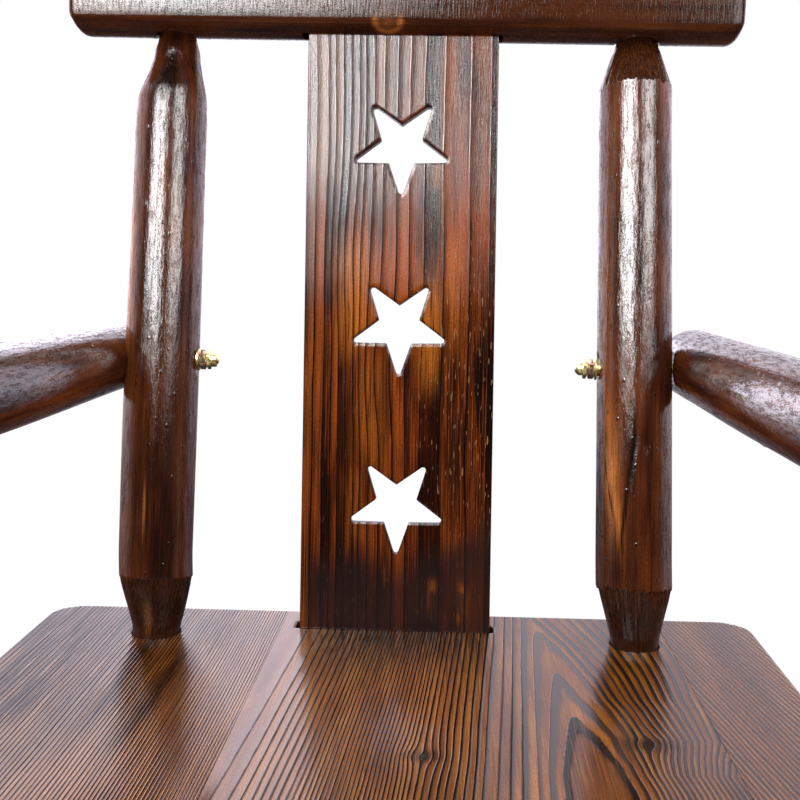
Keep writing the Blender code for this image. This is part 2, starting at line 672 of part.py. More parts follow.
def build_arm_bolt(name, side, swivel, materials, arm, post):
    """Makes one arm's carriage bolt with its washer, nut and cap nut."""
    metal = materials["yellow_zinc"]
    shank = BOLT_DIAMETER / 2
    head_seat = ARM_X + ARM_DIAMETER / 2 - BOLT_HEAD_SINK
    spot = POST_X - POST_DIAMETER / 2 + SPOT_FACE_DEPTH
    washer_face = spot - FACE_GAP
    nut_face = washer_face - WASHER_THICKNESS - FACE_GAP
    cap_face = nut_face - NUT_HEIGHT - FACE_GAP
    tip = cap_face - CAP_NUT_HEX_HEIGHT - CAP_NUT_DOME_HEIGHT * 0.3

    def at(x):
        return Vector((side * x, BOLT_Y, ARM_Z))

    length = head_seat - tip
    head = BOLT_HEAD_DIAMETER / 2
    profile = [(0.0, 0.0), (shank - 0.0008, 0.0), (shank, 0.0008), (shank, length), (head, length)]
    for step in range(1, 4):
        angle = math.radians(30 * step)
        profile.append((head * math.cos(angle), length + BOLT_HEAD_HEIGHT * math.sin(angle)))
    profile[-1] = (0.0, length + BOLT_HEAD_HEIGHT)
    bolt = make_object(f"arm_bolt_{name}", spin_profile(profile, METAL_SEGMENTS), metal, swivel)
    bolt.matrix_world = aim_matrix(at(tip), at(head_seat))

    inside, outside = shank + FACE_GAP, WASHER_DIAMETER / 2
    ring = [(inside, 0.0), (outside, 0.0), (outside, WASHER_THICKNESS), (inside, WASHER_THICKNESS)]
    washer = make_object(f"arm_washer_{name}", spin_profile(ring, METAL_SEGMENTS, closed=True), metal, swivel)
    washer.matrix_world = aim_matrix(at(washer_face), at(0.0))

    corner = NUT_ACROSS_FLATS / math.sqrt(3)
    flat = NUT_ACROSS_FLATS / 2
    chamfer = (corner - flat) * 0.55
    nut = make_object(
        f"arm_nut_{name}", extrude_outline(hex_outline(NUT_ACROSS_FLATS), 0.0, NUT_HEIGHT), metal, swivel
    )
    nut.matrix_world = aim_matrix(at(nut_face), at(0.0))
    shape = [
        (0.0, 0.0),
        (flat, 0.0),
        (corner, chamfer),
        (corner, NUT_HEIGHT - chamfer),
        (flat, NUT_HEIGHT),
        (0.0, NUT_HEIGHT),
    ]
    common(nut, shape, f"cut_{nut.name}_chamfer")
    bore(nut, at(nut_face + CUT_OVERRUN), at(cap_face - CUT_OVERRUN), shank + FACE_GAP)

    base = make_object(
        f"arm_cap_nut_{name}",
        extrude_outline(hex_outline(NUT_ACROSS_FLATS), 0.0, CAP_NUT_HEX_HEIGHT),
        metal,
        swivel,
    )
    base.matrix_world = aim_matrix(at(cap_face), at(0.0))
    shape = [
        (0.0, 0.0),
        (flat, 0.0),
        (corner, chamfer),
        (corner, CAP_NUT_HEX_HEIGHT - chamfer),
        (flat, CAP_NUT_HEX_HEIGHT),
        (0.0, CAP_NUT_HEX_HEIGHT),
    ]
    common(base, shape, f"cut_{base.name}_chamfer")
    dome = CAP_NUT_DOME_DIAMETER / 2
    rise = CAP_NUT_DOME_HEIGHT - CAP_NUT_CROWN
    shape = [(0.0, CAP_NUT_HEX_HEIGHT / 2), (dome, CAP_NUT_HEX_HEIGHT / 2)]
    for step in range(5):
        angle = math.radians(22.5 * step)
        height = CAP_NUT_HEX_HEIGHT + CAP_NUT_CROWN + rise * math.sin(angle)
        shape.append((dome * math.cos(angle), height))
    shape[-1] = (0.0, CAP_NUT_HEX_HEIGHT + CAP_NUT_DOME_HEIGHT)
    crown = make_cutter(f"cut_{base.name}_dome", spin_profile(shape, METAL_SEGMENTS))
    crown.matrix_world = base.matrix_world
    modifier = base.modifiers.new("dome", "BOOLEAN")
    modifier.operation = "UNION"
    modifier.solver = "EXACT"
    modifier.object = crown
    bore(base, at(cap_face + CUT_OVERRUN), at(tip - FACE_GAP), shank + FACE_GAP)

    bore(arm, at(POST_X), at(head_seat + CUT_OVERRUN), shank + FACE_GAP)
    bore(arm, at(head_seat - FACE_GAP), at(head_seat + 2 * CUT_OVERRUN), head + SPOT_FACE_ROOM)
    bore(post, at(POST_X - POST_DIAMETER), at(POST_X + POST_DIAMETER), shank + FACE_GAP)
    bore(post, at(spot - 2 * CUT_OVERRUN), at(spot), SPOT_FACE_DIAMETER / 2)


def common(target, profile, name):
    """Keeps only what an object shares with a turned shape in the same place."""
    keeper = make_cutter(name, spin_profile(profile, METAL_SEGMENTS))
    keeper.matrix_world = target.matrix_world
    modifier = target.modifiers.new(name, "BOOLEAN")
    modifier.operation = "INTERSECT"
    modifier.solver = "EXACT"
    modifier.object = keeper


def build_base(base, materials):
    """Makes the plank, the four splayed legs and the four rungs."""
    half = PLANK_SIZE / 2
    outline = rectangle(-half, half, -half, half, ("fl", "fr", "rr", "rl"), PLANK_CORNER)
    bm = extrude_outline(outline, PLANK_BOTTOM, PLANK_TOP)
    round_edges(
        bm,
        lambda edge: abs(edge.verts[0].co.z - edge.verts[1].co.z) < 0.0001,
        PLANK_EDGE_ROUND,
        1,
    )
    plank = make_object("base_plank", bm, materials["plank"], base)

    neck = LEG_NECK_DIAMETER / 2
    stretch = math.sqrt(1 + 2 * LEG_SLOPE**2)
    tilt = math.sqrt(2) * LEG_SLOPE
    reach = LEG_DIAMETER * tilt
    plank_along = PLANK_BOTTOM * stretch
    neck_along = plank_along - neck * tilt - FACE_GAP
    top = (PLANK_TOP + CUT_OVERRUN) * stretch
    profile = [
        (0.0, -reach),
        (LEG_DIAMETER / 2, -reach),
        (LEG_DIAMETER / 2, plank_along * 0.5),
    ]
    profile += reversed(
        pencil_taper(neck, LEG_DIAMETER / 2, neck_along, neck_along - LEG_TAPER)
    )
    profile += [(neck, top), (0.0, top)]
    legs = {}
    for place, side_y in (("front", -1), ("rear", 1)):
        for name, side_x in SIDES:
            leg = make_object(
                f"leg_{place}_{name}", spin_profile(profile, LOG_SEGMENTS), materials["log"], base
            )
            foot = leg_point(side_x, side_y, 0.0)
            head = leg_point(side_x, side_y, PLANK_TOP)
            leg.matrix_world = aim_matrix(foot, head)
            cut_level(leg, -PLANK_TOP, 0.0, LEG_FOOT_SPACING)
            cut_level(leg, PLANK_TOP, 2 * PLANK_TOP, LEG_FOOT_SPACING)
            bore(
                plank,
                leg_point(side_x, side_y, PLANK_BOTTOM - 2 * CUT_OVERRUN),
                leg_point(side_x, side_y, PLANK_TOP + 2 * CUT_OVERRUN),
                neck + TENON_CLEARANCE,
                LOG_SEGMENTS,
            )
            legs[(side_x, side_y)] = leg

    build_rung("footrest_front", CROSS_RUNG_HEIGHT, (-1, -1), (1, -1), base, materials, legs)
    build_rung("rung_rear", CROSS_RUNG_HEIGHT, (-1, 1), (1, 1), base, materials, legs)
    build_rung("rung_left", SIDE_RUNG_HEIGHT, (-1, -1), (-1, 1), base, materials, legs)
    build_rung("rung_right", SIDE_RUNG_HEIGHT, (1, -1), (1, 1), base, materials, legs)
    return plank


def build_rung(name, height, first, second, base, materials, legs):
    """Makes one rung between two legs and bores the legs for its tenons."""
    start = leg_point(*first, height)
    end = leg_point(*second, height)
    length = (end - start).length
    direction = (end - start).normalized()
    neck = RUNG_NECK_DIAMETER / 2
    leg_radius = LEG_DIAMETER / 2
    tenon = leg_radius - RUNG_TENON
    shoulder = leg_radius * math.sqrt(1 + LEG_SLOPE**2) + neck * LEG_SLOPE + FACE_GAP
    profile = log_profile(
        (tenon, length - tenon),
        neck,
        (shoulder, length - shoulder),
        (shoulder + RUNG_TAPER, length - shoulder - RUNG_TAPER),
        RUNG_DIAMETER / 2 - 0.0006,
        RUNG_DIAMETER / 2,
    )
    rung = make_object(name, spin_profile(profile, RUNG_SEGMENTS), materials["log"], base)
    rung.matrix_world = aim_matrix(start, end)
    for place, point, sign in ((first, start, 1), (second, end, -1)):
        bore(
            legs[place],
            point + direction * sign * (tenon - FACE_GAP),
            point + direction * sign * LEG_DIAMETER,
            neck + TENON_CLEARANCE,
            RUNG_SEGMENTS,
        )
    return rung


def race_profile(sign, groove):
    """Lists the ring profile of a ball race that stands off its plate."""
    middle = RACE_DIAMETER / 2
    half = RACE_WIDTH / 2
    lip = half * 0.72
    return [
        (middle - half, sign * PLATE_THICKNESS * 0.5),
        (middle + half, sign * PLATE_THICKNESS * 0.5),
        (middle + lip, sign * RACE_HEIGHT),
        (middle + BALL_DIAMETER * 0.45, sign * RACE_HEIGHT),
        (middle + BALL_DIAMETER * 0.22, sign * groove),
        (middle - BALL_DIAMETER * 0.22, sign * groove),
        (middle - BALL_DIAMETER * 0.45, sign * RACE_HEIGHT),
        (middle - lip, sign * RACE_HEIGHT),
    ]


def build_swivel(base, swivel, cage, materials, plank, cleats):
    """Makes the two plates, the ball cage between them, the kingpin and the screws."""
    half = PLATE_SIZE / 2
    spread = PLATE_SCREW_SPACING / 2
    groove = (SWIVEL_HEIGHT - BALL_DIAMETER) / 2 - FACE_GAP
    outline = rectangle(-half, half, -half, half, ("fl", "fr", "rr", "rl"), PLATE_CORNER, 4)
    plates = {}
    for name, parent, level, sign in (
        ("swivel_lower_plate", base, PLANK_TOP + FACE_GAP, 1),
        ("swivel_upper_plate", swivel, CLEAT_BOTTOM - FACE_GAP, -1),
    ):
        low, high = sorted((0.0, sign * (PLATE_THICKNESS - FACE_GAP)))
        plate = make_object(name, extrude_outline(outline, low, high), materials["steel"], parent)
        plate.location = (0.0, 0.0, level)
        race = make_cutter(
            f"cut_{name}_race", spin_profile(race_profile(sign, groove - FACE_GAP), RACE_SEGMENTS, closed=True)
        )
        race.location = (0.0, 0.0, level)
        modifier = plate.modifiers.new("race", "BOOLEAN")
        modifier.operation = "UNION"
        modifier.solver = "EXACT"
        modifier.object = race
        bore(
            plate,
            (0.0, 0.0, level - CUT_OVERRUN),
            (0.0, 0.0, level + CUT_OVERRUN),
            KINGPIN_DIAMETER / 2 + RUNNING_GAP,
        )
        plates[name] = plate

    build_ball_cage(cage, materials)

    pin = KINGPIN_DIAMETER / 2
    head = KINGPIN_HEAD_DIAMETER / 2
    head_z = CLEAT_BOTTOM + FACE_GAP
    bottom = PLANK_TOP - KINGPIN_DEPTH
    profile = [
        (0.0, bottom),
        (pin * 0.8, bottom),
        (pin, bottom + pin * 0.2),
        (pin, head_z),
        (head, head_z),
        (head, head_z + KINGPIN_HEAD_HEIGHT * 0.6),
        (head * 0.8, head_z + KINGPIN_HEAD_HEIGHT),
        (0.0, head_z + KINGPIN_HEAD_HEIGHT),
    ]
    make_object("swivel_kingpin", spin_profile(profile, METAL_SEGMENTS), materials["steel"], base)
    bore(
        plank,
        (0.0, 0.0, bottom - FACE_GAP),
        (0.0, 0.0, PLANK_TOP + CUT_OVERRUN),
        pin + FACE_GAP,
    )

    corners = ((-1, -1), (1, -1), (1, 1), (-1, 1))
    for count, (side_x, side_y) in enumerate(corners, start=1):
        x, y = side_x * spread, side_y * spread
        lower = PLANK_TOP + PLATE_THICKNESS + FACE_GAP
        drive_screw(
            f"swivel_lower_screw_{count}",
            (x, y, lower - PLATE_SCREW_LENGTH),
            (x, y, lower),
            base,
            materials["steel"],
            (plates["swivel_lower_plate"], plank),
        )
        upper = CLEAT_BOTTOM - PLATE_THICKNESS - FACE_GAP
        drive_screw(
            f"swivel_upper_screw_{count}",
            (x, y, upper + PLATE_SCREW_LENGTH),
            (x, y, upper),
            swivel,
            materials["steel"],
            (plates["swivel_upper_plate"], cleats["front" if side_y < 0 else "rear"]),
        )


def build_ball_cage(cage, materials):
    """Makes the ring of balls, strung like beads on their retaining wire."""
    ball = BALL_DIAMETER / 2
    wire = CAGE_WIRE_DIAMETER / 2
    middle = RACE_DIAMETER / 2
    sides, steps = 6, 4
    pitch = math.tau / BALL_COUNT
    ball_span = 2 * math.asin(ball * math.cos(math.asin(wire / ball)) / (2 * middle)) * 2
    stations = []
    for count in range(BALL_COUNT):
        for step in range(steps + 1):
            swing = math.cos(math.pi * step / steps)
            reach = -swing * ball_span / 2
            across = math.sqrt(max(ball**2 - (2 * middle * math.sin(reach / 2)) ** 2, wire**2))
            stations.append((count * pitch + reach, across))
    bm = bmesh.new()
    rings = []
    level = PLANK_TOP + SWIVEL_HEIGHT / 2
    for angle, radius in stations:
        ring = []
        for side in range(sides):
            turn = math.tau * side / sides
            out = middle + radius * math.cos(turn)
            ring.append(
                bm.verts.new((out * math.cos(angle), out * math.sin(angle), level + radius * math.sin(turn)))
            )
        rings.append(ring)
    for first, second in zip(rings, rings[1:] + rings[:1]):
        for side in range(sides):
            following = (side + 1) % sides
            bm.faces.new((first[side], second[side], second[following], first[following]))
    make_object("ball_cage", bm, materials["steel"], cage)


def make_empty(name):
    """Makes an empty on the swivel's axis to parent one body's pieces to."""
    empty = bpy.data.objects.new(name, None)
    bpy.context.scene.collection.objects.link(empty)
    return empty


def main():
    """Builds the stool."""
    clear_scene()
    materials = {
        "log": make_material("charred_log", (0.085, 0.030, 0.016), 0.32),
        "rail": make_material("charred_rail", (0.095, 0.036, 0.020), 0.30),
        "splat": make_material("charred_splat", (0.150, 0.052, 0.022), 0.34),
        "seat": make_material("charred_seat", (0.170, 0.075, 0.038), 0.28),
        "plank": make_material("charred_plank", (0.110, 0.045, 0.024), 0.40),
        "yellow_zinc": make_material("yellow_zinc", (0.780, 0.610, 0.300), 0.22, 1.0),
        "steel": make_material("zinc_steel", (0.560, 0.570, 0.580), 0.35, 1.0),
    }
    base = make_empty("base")
    swivel = make_empty("seat_swivel")
    cage = make_empty("cage_swivel")
    plank = build_base(base, materials)
    boards, cleats = build_seat(swivel, materials)
    _, splat_top = build_splat(swivel, materials, boards["seat_board_centre"])
    posts, post_top = build_posts(swivel, materials, boards)
    build_rail(swivel, materials, splat_top, post_top)
    build_arms(swivel, materials, boards, posts)
    build_swivel(base, swivel, cage, materials, plank, cleats)
    bpy.context.view_layer.update()


if __name__ == "__main__":
    main()
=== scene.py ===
"""Dresses the swivel bar stool: charred, brushed and varnished log timber with plated fittings.

Metres, +Z up. The front of the seat faces -Y and the stool's own axis is X = Y = 0.
"""

import logging
import math
from collections.abc import Callable, Sequence
from dataclasses import dataclass, field
from enum import Enum
from itertools import product

import bpy
import numpy as np
from mathutils import Matrix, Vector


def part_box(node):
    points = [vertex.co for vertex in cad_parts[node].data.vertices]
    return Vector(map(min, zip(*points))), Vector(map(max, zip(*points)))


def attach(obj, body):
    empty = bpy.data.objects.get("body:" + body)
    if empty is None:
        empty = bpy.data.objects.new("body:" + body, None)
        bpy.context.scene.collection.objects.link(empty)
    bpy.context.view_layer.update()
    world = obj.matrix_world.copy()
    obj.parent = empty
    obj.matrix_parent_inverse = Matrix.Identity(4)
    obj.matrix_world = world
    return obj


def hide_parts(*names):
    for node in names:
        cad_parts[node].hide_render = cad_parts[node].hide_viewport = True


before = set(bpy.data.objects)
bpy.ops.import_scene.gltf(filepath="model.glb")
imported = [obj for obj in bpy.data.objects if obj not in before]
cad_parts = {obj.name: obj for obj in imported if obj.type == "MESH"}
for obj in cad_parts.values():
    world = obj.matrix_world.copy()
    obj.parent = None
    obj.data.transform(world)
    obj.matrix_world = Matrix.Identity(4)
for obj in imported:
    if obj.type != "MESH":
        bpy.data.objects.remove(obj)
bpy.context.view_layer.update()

Array = np.ndarray
Field = Callable[[Array], Array]
Colour = tuple[float, float, float]
Place = tuple[float, float, float]
Pair = tuple[float, float]
Socket = bpy.types.NodeSocket
log = logging.getLogger("stool")

# Sizes that several sub-assemblies share
SEAT_TOP = 0.760
POST_X = 0.1765
POST_Y = 0.1496
POST_LEAN = math.radians(11.6)
POST_AXIS = np.array([0.0, math.sin(POST_LEAN), math.cos(POST_LEAN)])
SPLAT_FOOT = (0.0, 0.165, SEAT_TOP)
SPLAT_LEAN = math.radians(6.7)
SPLAT_UP = (0.0, math.sin(SPLAT_LEAN), math.cos(SPLAT_LEAN))
SPLAT_OUT = (0.0, -math.cos(SPLAT_LEAN), math.sin(SPLAT_LEAN))
SPLAT_AXES = np.array([(1.0, 0.0, 0.0), SPLAT_UP, SPLAT_OUT])
ARM_X = 0.2275
ARM_Z = 0.958
ARM_POST_Y = -0.165

# A board's face lies along the first two of its own axes
FACE_AXES = np.array([1.0, 1.0, 0.0])
NOISE_SHIFT = 41.7
SHARP_EDGE = math.radians(48)
# The finishes give their reliefs in tenths of a millimetre
RELIEF_UNIT = 0.0001
VARNISH_IOR = 1.6
WHITE = (1.0, 1.0, 1.0)


class Side(Enum):
    """Sides of the stool as seen from the front."""

    LEFT = -1
    RIGHT = 1


class Body(Enum):
    """Rigid bodies of the frame."""

    BASE = "base"
    SEAT = "seat"


# Sums on whole arrays


def ease(value: Array, low: float, high: float) -> Array:
    """Rises smoothly from 0 at low to 1 at high.

    Args:
        value: Numbers to ease.
        low: Where the rise starts.
        high: Where it ends.

    Returns:
        Eased numbers between 0 and 1.
    """
    share = np.clip((value - low) / (high - low), 0.0, 1.0)
    return share * share * (3.0 - 2.0 * share)


def noise(points: Array, scale: Sequence[float], seed: int) -> Array:
    """Smooth noise: random values at whole-number corners, blended by a fifth-order fade.

    Args:
        points: Places, three numbers each in the last axis.
        scale: Cells per metre along each of the three axes.
        seed: Which noise.

    Returns:
        One number between -1 and 1 for each place.
    """
    table = 256
    random = np.random.default_rng(seed)
    order = random.permutation(table)
    values = random.uniform(-1.0, 1.0, table)
    places = points * np.asarray(scale) + NOISE_SHIFT
    cell = np.floor(places).astype(int)
    inside = places - cell
    fade = inside**3 * (inside * (inside * 6.0 - 15.0) + 10.0)
    total = np.zeros(points.shape[:-1])
    for corner in product((0, 1), repeat=3):
        x, y, z = np.moveaxis((cell + corner) % table, -1, 0)
        picked = order[(order[(order[x] + y) % table] + z) % table]
        weight = np.where(np.array(corner) == 1, fade, 1.0 - fade).prod(-1)
        total += values[picked] * weight
    return total


def smooth_greater(first: Array, second: Array, blend: float) -> Array:
    """The greater of two fields, with the crease between them rounded over the blend."""
    return blend * np.logaddexp(first / blend, second / blend)


# Meshes


@dataclass
class Skin:
    """A mesh being worked out: points, faces of four and three sides, and values at the points."""

    points: Array
    quads: Array
    triangles: Array = field(default_factory=lambda: np.empty((0, 3), int))
    layers: dict[str, Array] = field(default_factory=dict)

    def make(self, name: str, body: Body, node: str, slot: str, finish: "Finish") -> bpy.types.Object:
        """Turns the skin into a piece that takes a CAD node's place.

        Args:
            name: The piece's name.
            body: The body it rides.
            node: The CAD node it replaces.
            slot: The material slot of the record; not used.
            finish: The finish it wears.

        Returns:
            The finished object, at the origin.
        """
        mesh = bpy.data.meshes.new(name)
        mesh.from_pydata(self.points.tolist(), [], [*self.quads.tolist(), *self.triangles.tolist()])
        for layer, values in self.layers.items():
            kind, key = ("FLOAT_VECTOR", "vector") if values.ndim == 2 else ("FLOAT", "value")
            mesh.attributes.new(layer, kind, "POINT").data.foreach_set(key, values.astype(np.float32).ravel())
        mesh.shade_smooth()
        mesh.set_sharp_from_angle(angle=SHARP_EDGE)
        piece = bpy.data.objects.new(name, mesh)
        bpy.context.scene.collection.objects.link(piece)
        mesh.materials.append(finish.material())
        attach(piece, body.value)
        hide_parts(node)
        log.info("%s: %d points", name, len(self.points))
        return piece

    def pocket(self, distance: Field, heading: Array, depth: float) -> None:
        """Cuts a blind hole: trims its mouth out, draws the rim in along the heading and closes it. Its walls
        and floor are painted black as shade.

        Args:
            distance: Signed distance to the hole, negative inside.
            heading: Direction into the timber.
            depth: How deep it goes.
        """
        points, self.quads, rim = trim(self.points, self.quads, distance)
        start = len(points)
        mouth, order = np.unique(rim, return_inverse=True)
        first, second = start + order.reshape(-1, 2).T
        floor = points[mouth] + depth * heading
        walls = np.stack([rim[:, 0], first, second, rim[:, 1]], -1)
        middle = np.full(len(rim), start + len(mouth))
        self.points = np.concatenate([points, floor, floor.mean(0, keepdims=True)])
        self.quads = np.concatenate([self.quads, walls])
        self.triangles = np.concatenate([self.triangles, np.stack([second, first, middle], -1)])
        # Painted shade: the hole's walls and floor take full char, so the inside is black
        for layer, values in self.layers.items():
            inside = np.concatenate([values[mouth], values[mouth][:1]])
            self.layers[layer] = np.concatenate([values, np.ones_like(inside) if layer == "char" else inside])


def open_edges(faces: Array) -> Array:
    """Directed edges that only one face has.

    Args:
        faces: Corner numbers of faces of one size.

    Returns:
        Pairs of point numbers, in the direction their face runs.
    """
    pairs = np.stack([faces, np.roll(faces, -1, axis=1)], -1).reshape(-1, 2)
    size = faces.max() + 1
    codes = pairs[:, 0] * size + pairs[:, 1]
    back = pairs[:, 1] * size + pairs[:, 0]
    return pairs[~np.isin(codes, back)]


def trim(points: Array, quads: Array, distance: Field) -> tuple[Array, Array, Array]:
    """Cuts the faces inside a shape away and draws the rim of the cut onto the shape's outline.

    Args:
        points: Points of the surface, changed in place at the rim, along the first two axes alone.
        quads: Faces of the surface.
        distance: Signed distance to the shape, negative inside.

    Returns:
        Points, the faces left and the rim's directed edges.
    """
    kept = quads[distance(points[quads].mean(1)) > 0.0]
    edges = open_edges(kept)
    old = np.unique(open_edges(quads))
    fresh = ~np.isin(edges, old).all(1)
    rim = np.setdiff1d(np.unique(edges[fresh]), old)
    step = 1e-5
    for _ in range(3):
        here = points[rim]
        reach = distance(here)
        slope = np.stack([distance(here + step * axis) - reach for axis in np.eye(3)], -1) / step
        slope *= FACE_AXES
        slope /= np.maximum((slope**2).sum(-1, keepdims=True), 0.2)
        points[rim] = here - reach[:, None] * slope
    return points, kept, edges[fresh]


def tube_faces(rows: int, around: int) -> tuple[Array, Array]:
    """Faces of a grid closed round its second parameter, with a point at each pole.

    Args:
        rows: Rings of points.
        around: Points in each ring. The two poles follow the rings.

    Returns:
        Quads of the wall and triangles of the two poles.
    """
    column = np.arange(around)
    after = (column + 1) % around
    row = np.arange(rows - 1)[:, None] * around
    corners = (row + column, row + after, row + around + after, row + around + column)
    quads = np.stack(corners, -1).reshape(-1, 4)
    last = (rows - 1) * around
    low = np.stack([np.full(around, rows * around), after, column], -1)
    high = np.stack([np.full(around, rows * around + 1), last + column, last + after], -1)
    return quads, np.concatenate([low, high])


def axis_frame(heading: Array) -> Array:
    """A square frame whose third axis is the heading and whose first lies level where it can.

    Args:
        heading: Direction of the axis.

    Returns:
        Three unit rows.
    """
    third = heading / np.linalg.norm(heading)
    first = np.array([1.0, 0.0, 0.0]) if abs(third[0]) < 0.7 else np.array([0.0, 1.0, 0.0])
    first = first - third * (first @ third)
    first /= np.linalg.norm(first)
    return np.stack([first, np.cross(third, first), third])


# Finishes


@dataclass(frozen=True)
class Wire:
    """A node's output that takes part in sums: each sign or method adds one node."""

    bench: "NodeBench"
    socket: Socket

    def __add__(self, other: "Wire | float") -> "Wire":
        """The sum."""
        return self.bench.math("ADD", self, other)

    def __sub__(self, other: "Wire | float") -> "Wire":
        """The difference."""
        return self.bench.math("SUBTRACT", self, other)

    def __rsub__(self, other: float) -> "Wire":
        """What is left of a number when this is taken off."""
        return self.bench.math("SUBTRACT", other, self)

    def __mul__(self, other: "Wire | float") -> "Wire":
        """The product."""
        return self.bench.math("MULTIPLY", self, other)

    def __rtruediv__(self, other: float) -> "Wire":
        """A number divided by this."""
        return self.bench.math("DIVIDE", other, self)

    def at_least(self, other: "Wire | float") -> "Wire":
        """The greater of the two."""
        return self.bench.math("MAXIMUM", self, other)

    def at_most(self, other: "Wire | float") -> "Wire":
        """The lesser of the two."""
        return self.bench.math("MINIMUM", self, other)

    def rise(
        self, low: "Wire | float", high: "Wire | float", start: float = 0.0, end: float = 1.0,
        kind: str = "SMOOTHSTEP",
    ) -> "Wire":
        """Goes from start to end as the value goes from low to high, eased unless another kind is named."""
        values = dict(enumerate((self, low, high, start, end)))
        return self.bench.run("MapRange", values, interpolation_type=kind)


Value = Wire | float | Colour


class NodeBench:
    """Makes and links the nodes of one material or world."""

    def __init__(self, item: bpy.types.Material | bpy.types.World) -> None:
        """Starts on an item's nodes.

        Args:
            item: The material or the world.
        """
        item.use_nodes = True
        self.item = item
        self.tree = item.node_tree

    def feed(self, socket: Socket, value: Value) -> None:
        """Links a wire into a socket, or sets the socket's value.

        Args:
            socket: The socket to feed.
            value: A wire, a number or a colour.
        """
        if isinstance(value, Wire):
            self.tree.links.new(value.socket, socket)
        elif isinstance(value, tuple) and socket.type == "RGBA":
            socket.default_value = (*value, 1.0)
        else:
            socket.default_value = value

    def run(
        self, kind: str, values: dict[int | str, Value], output: int | str = 0, **settings: str
    ) -> Wire:
        """Adds a node, feeds it and hands out one of its outputs.

        Args:
            kind: The node's kind.
            values: What to feed, by the number or name of the input.
            output: Number or name of the output.
            settings: The node's own settings.

        Returns:
            The output.
        """
        node = self.tree.nodes.new("ShaderNode" + kind)
        for key, setting in settings.items():
            setattr(node, key, setting)
        for key, value in values.items():
            self.feed(node.inputs[key], value)
        return Wire(self, node.outputs[output])

    def math(self, operation: str, *values: Wire | float) -> Wire:
        """One step of arithmetic."""
        return self.run("Math", dict(enumerate(values)), operation=operation)

    def layer(self, name: str, output: str = "Fac") -> Wire:
        """Reads a value layer of the piece."""
        return self.run("Attribute", {}, output, attribute_name=name)

    def stretched(self, vector: Wire, scale: Sequence[float]) -> Wire:
        """A vector times a scale for each axis."""
        return self.run("VectorMath", {0: vector, 1: tuple(scale)}, operation="MULTIPLY")

    def noise(self, vector: Wire, scale: Sequence[float], detail: float = 2.0, rough: float = 0.5) -> Wire:
        """Noise of a vector that is first stretched.

        Args:
            vector: Places.
            scale: Cells per metre along each axis.
            detail: Octaves.
            rough: Weight of the finer octaves.

        Returns:
            A value around one half.
        """
        values = {"Vector": self.stretched(vector, scale), "Scale": 1.0, "Detail": detail, "Roughness": rough}
        return self.run("TexNoise", values, "Fac")

    def mix(self, share: Wire | float, first: Value, second: Value, blend: str = "MIX") -> Wire:
        """Mixes a share of a second colour into a first."""
        values = {"Factor": share, 6: first, 7: second}
        return self.run("Mix", values, 2, data_type="RGBA", blend_type=blend)

    def blend(self, share: Wire, first: Wire, second: Wire) -> Wire:
        """Mixes a share of a second shader into a first."""
        return self.run("MixShader", dict(enumerate((share, first, second))))

    def ramp(self, share: Wire, stops: Sequence[tuple[float, Colour]]) -> Wire:
        """A run of colours over a value.

        Args:
            share: The value.
            stops: Places and colours; the first lies at 0 and the last at 1.

        Returns:
            The colour.
        """
        node = self.tree.nodes.new("ShaderNodeValToRGB")
        elements = node.color_ramp.elements
        for place, colour in stops[1:-1]:
            elements.new(place).color = (*colour, 1.0)
        elements[0].color = (*stops[0][1], 1.0)
        elements[-1].color = (*stops[-1][1], 1.0)
        self.feed(node.inputs[0], share)
        return Wire(self, node.outputs[0])

    def bump(self, height: Wire, depth: float = RELIEF_UNIT) -> Wire:
        """A surface normal from a height field, in which 1 stands for the depth."""
        return self.run("Bump", {"Strength": 1.0, "Distance": depth, "Height": height})

    def principled(self, values: dict[str, Value]) -> bpy.types.Material:
        """Feeds the material's shader and hands the material out.

        Args:
            values: What to feed, by the name of the input.

        Returns:
            The material.
        """
        sockets = self.tree.nodes["Principled BSDF"].inputs
        for name, value in values.items():
            self.feed(sockets[name], value)
        return self.item


class Finish:
    """A finish: makes its material once and hands it out."""

    name: str

    def material(self) -> bpy.types.Material:
        """The finish's material, made on first use."""
        found = bpy.data.materials.get(self.name)
        return found if found else self.mixed(NodeBench(bpy.data.materials.new(self.name)))

    def mixed(self, bench: NodeBench) -> bpy.types.Material:
        """Fills the bench with the finish's nodes."""
        raise NotImplementedError


def varnish(
    bench: NodeBench, colour: Wire, rough: Wire, height: Wire, coat: Wire | float, polish: float
) -> bpy.types.Material:
    """Lays clear varnish over a colour.

    Args:
        bench: The material's nodes.
        colour: Colour of the wood.
        rough: Roughness of the wood below the varnish.
        height: The relief that the varnish follows, in tenths of a millimetre.
        coat: How thick the varnish stands.
        polish: Roughness of the varnish.

    Returns:
        The material.
    """
    normal = bench.bump(height)
    return bench.principled(
        {
            "Base Color": colour, "Roughness": rough, "Normal": normal, "Coat Normal": normal,
            "Coat Weight": coat, "Coat Roughness": polish, "Coat IOR": VARNISH_IOR, "Specular IOR Level": 0.0,
        }
    )


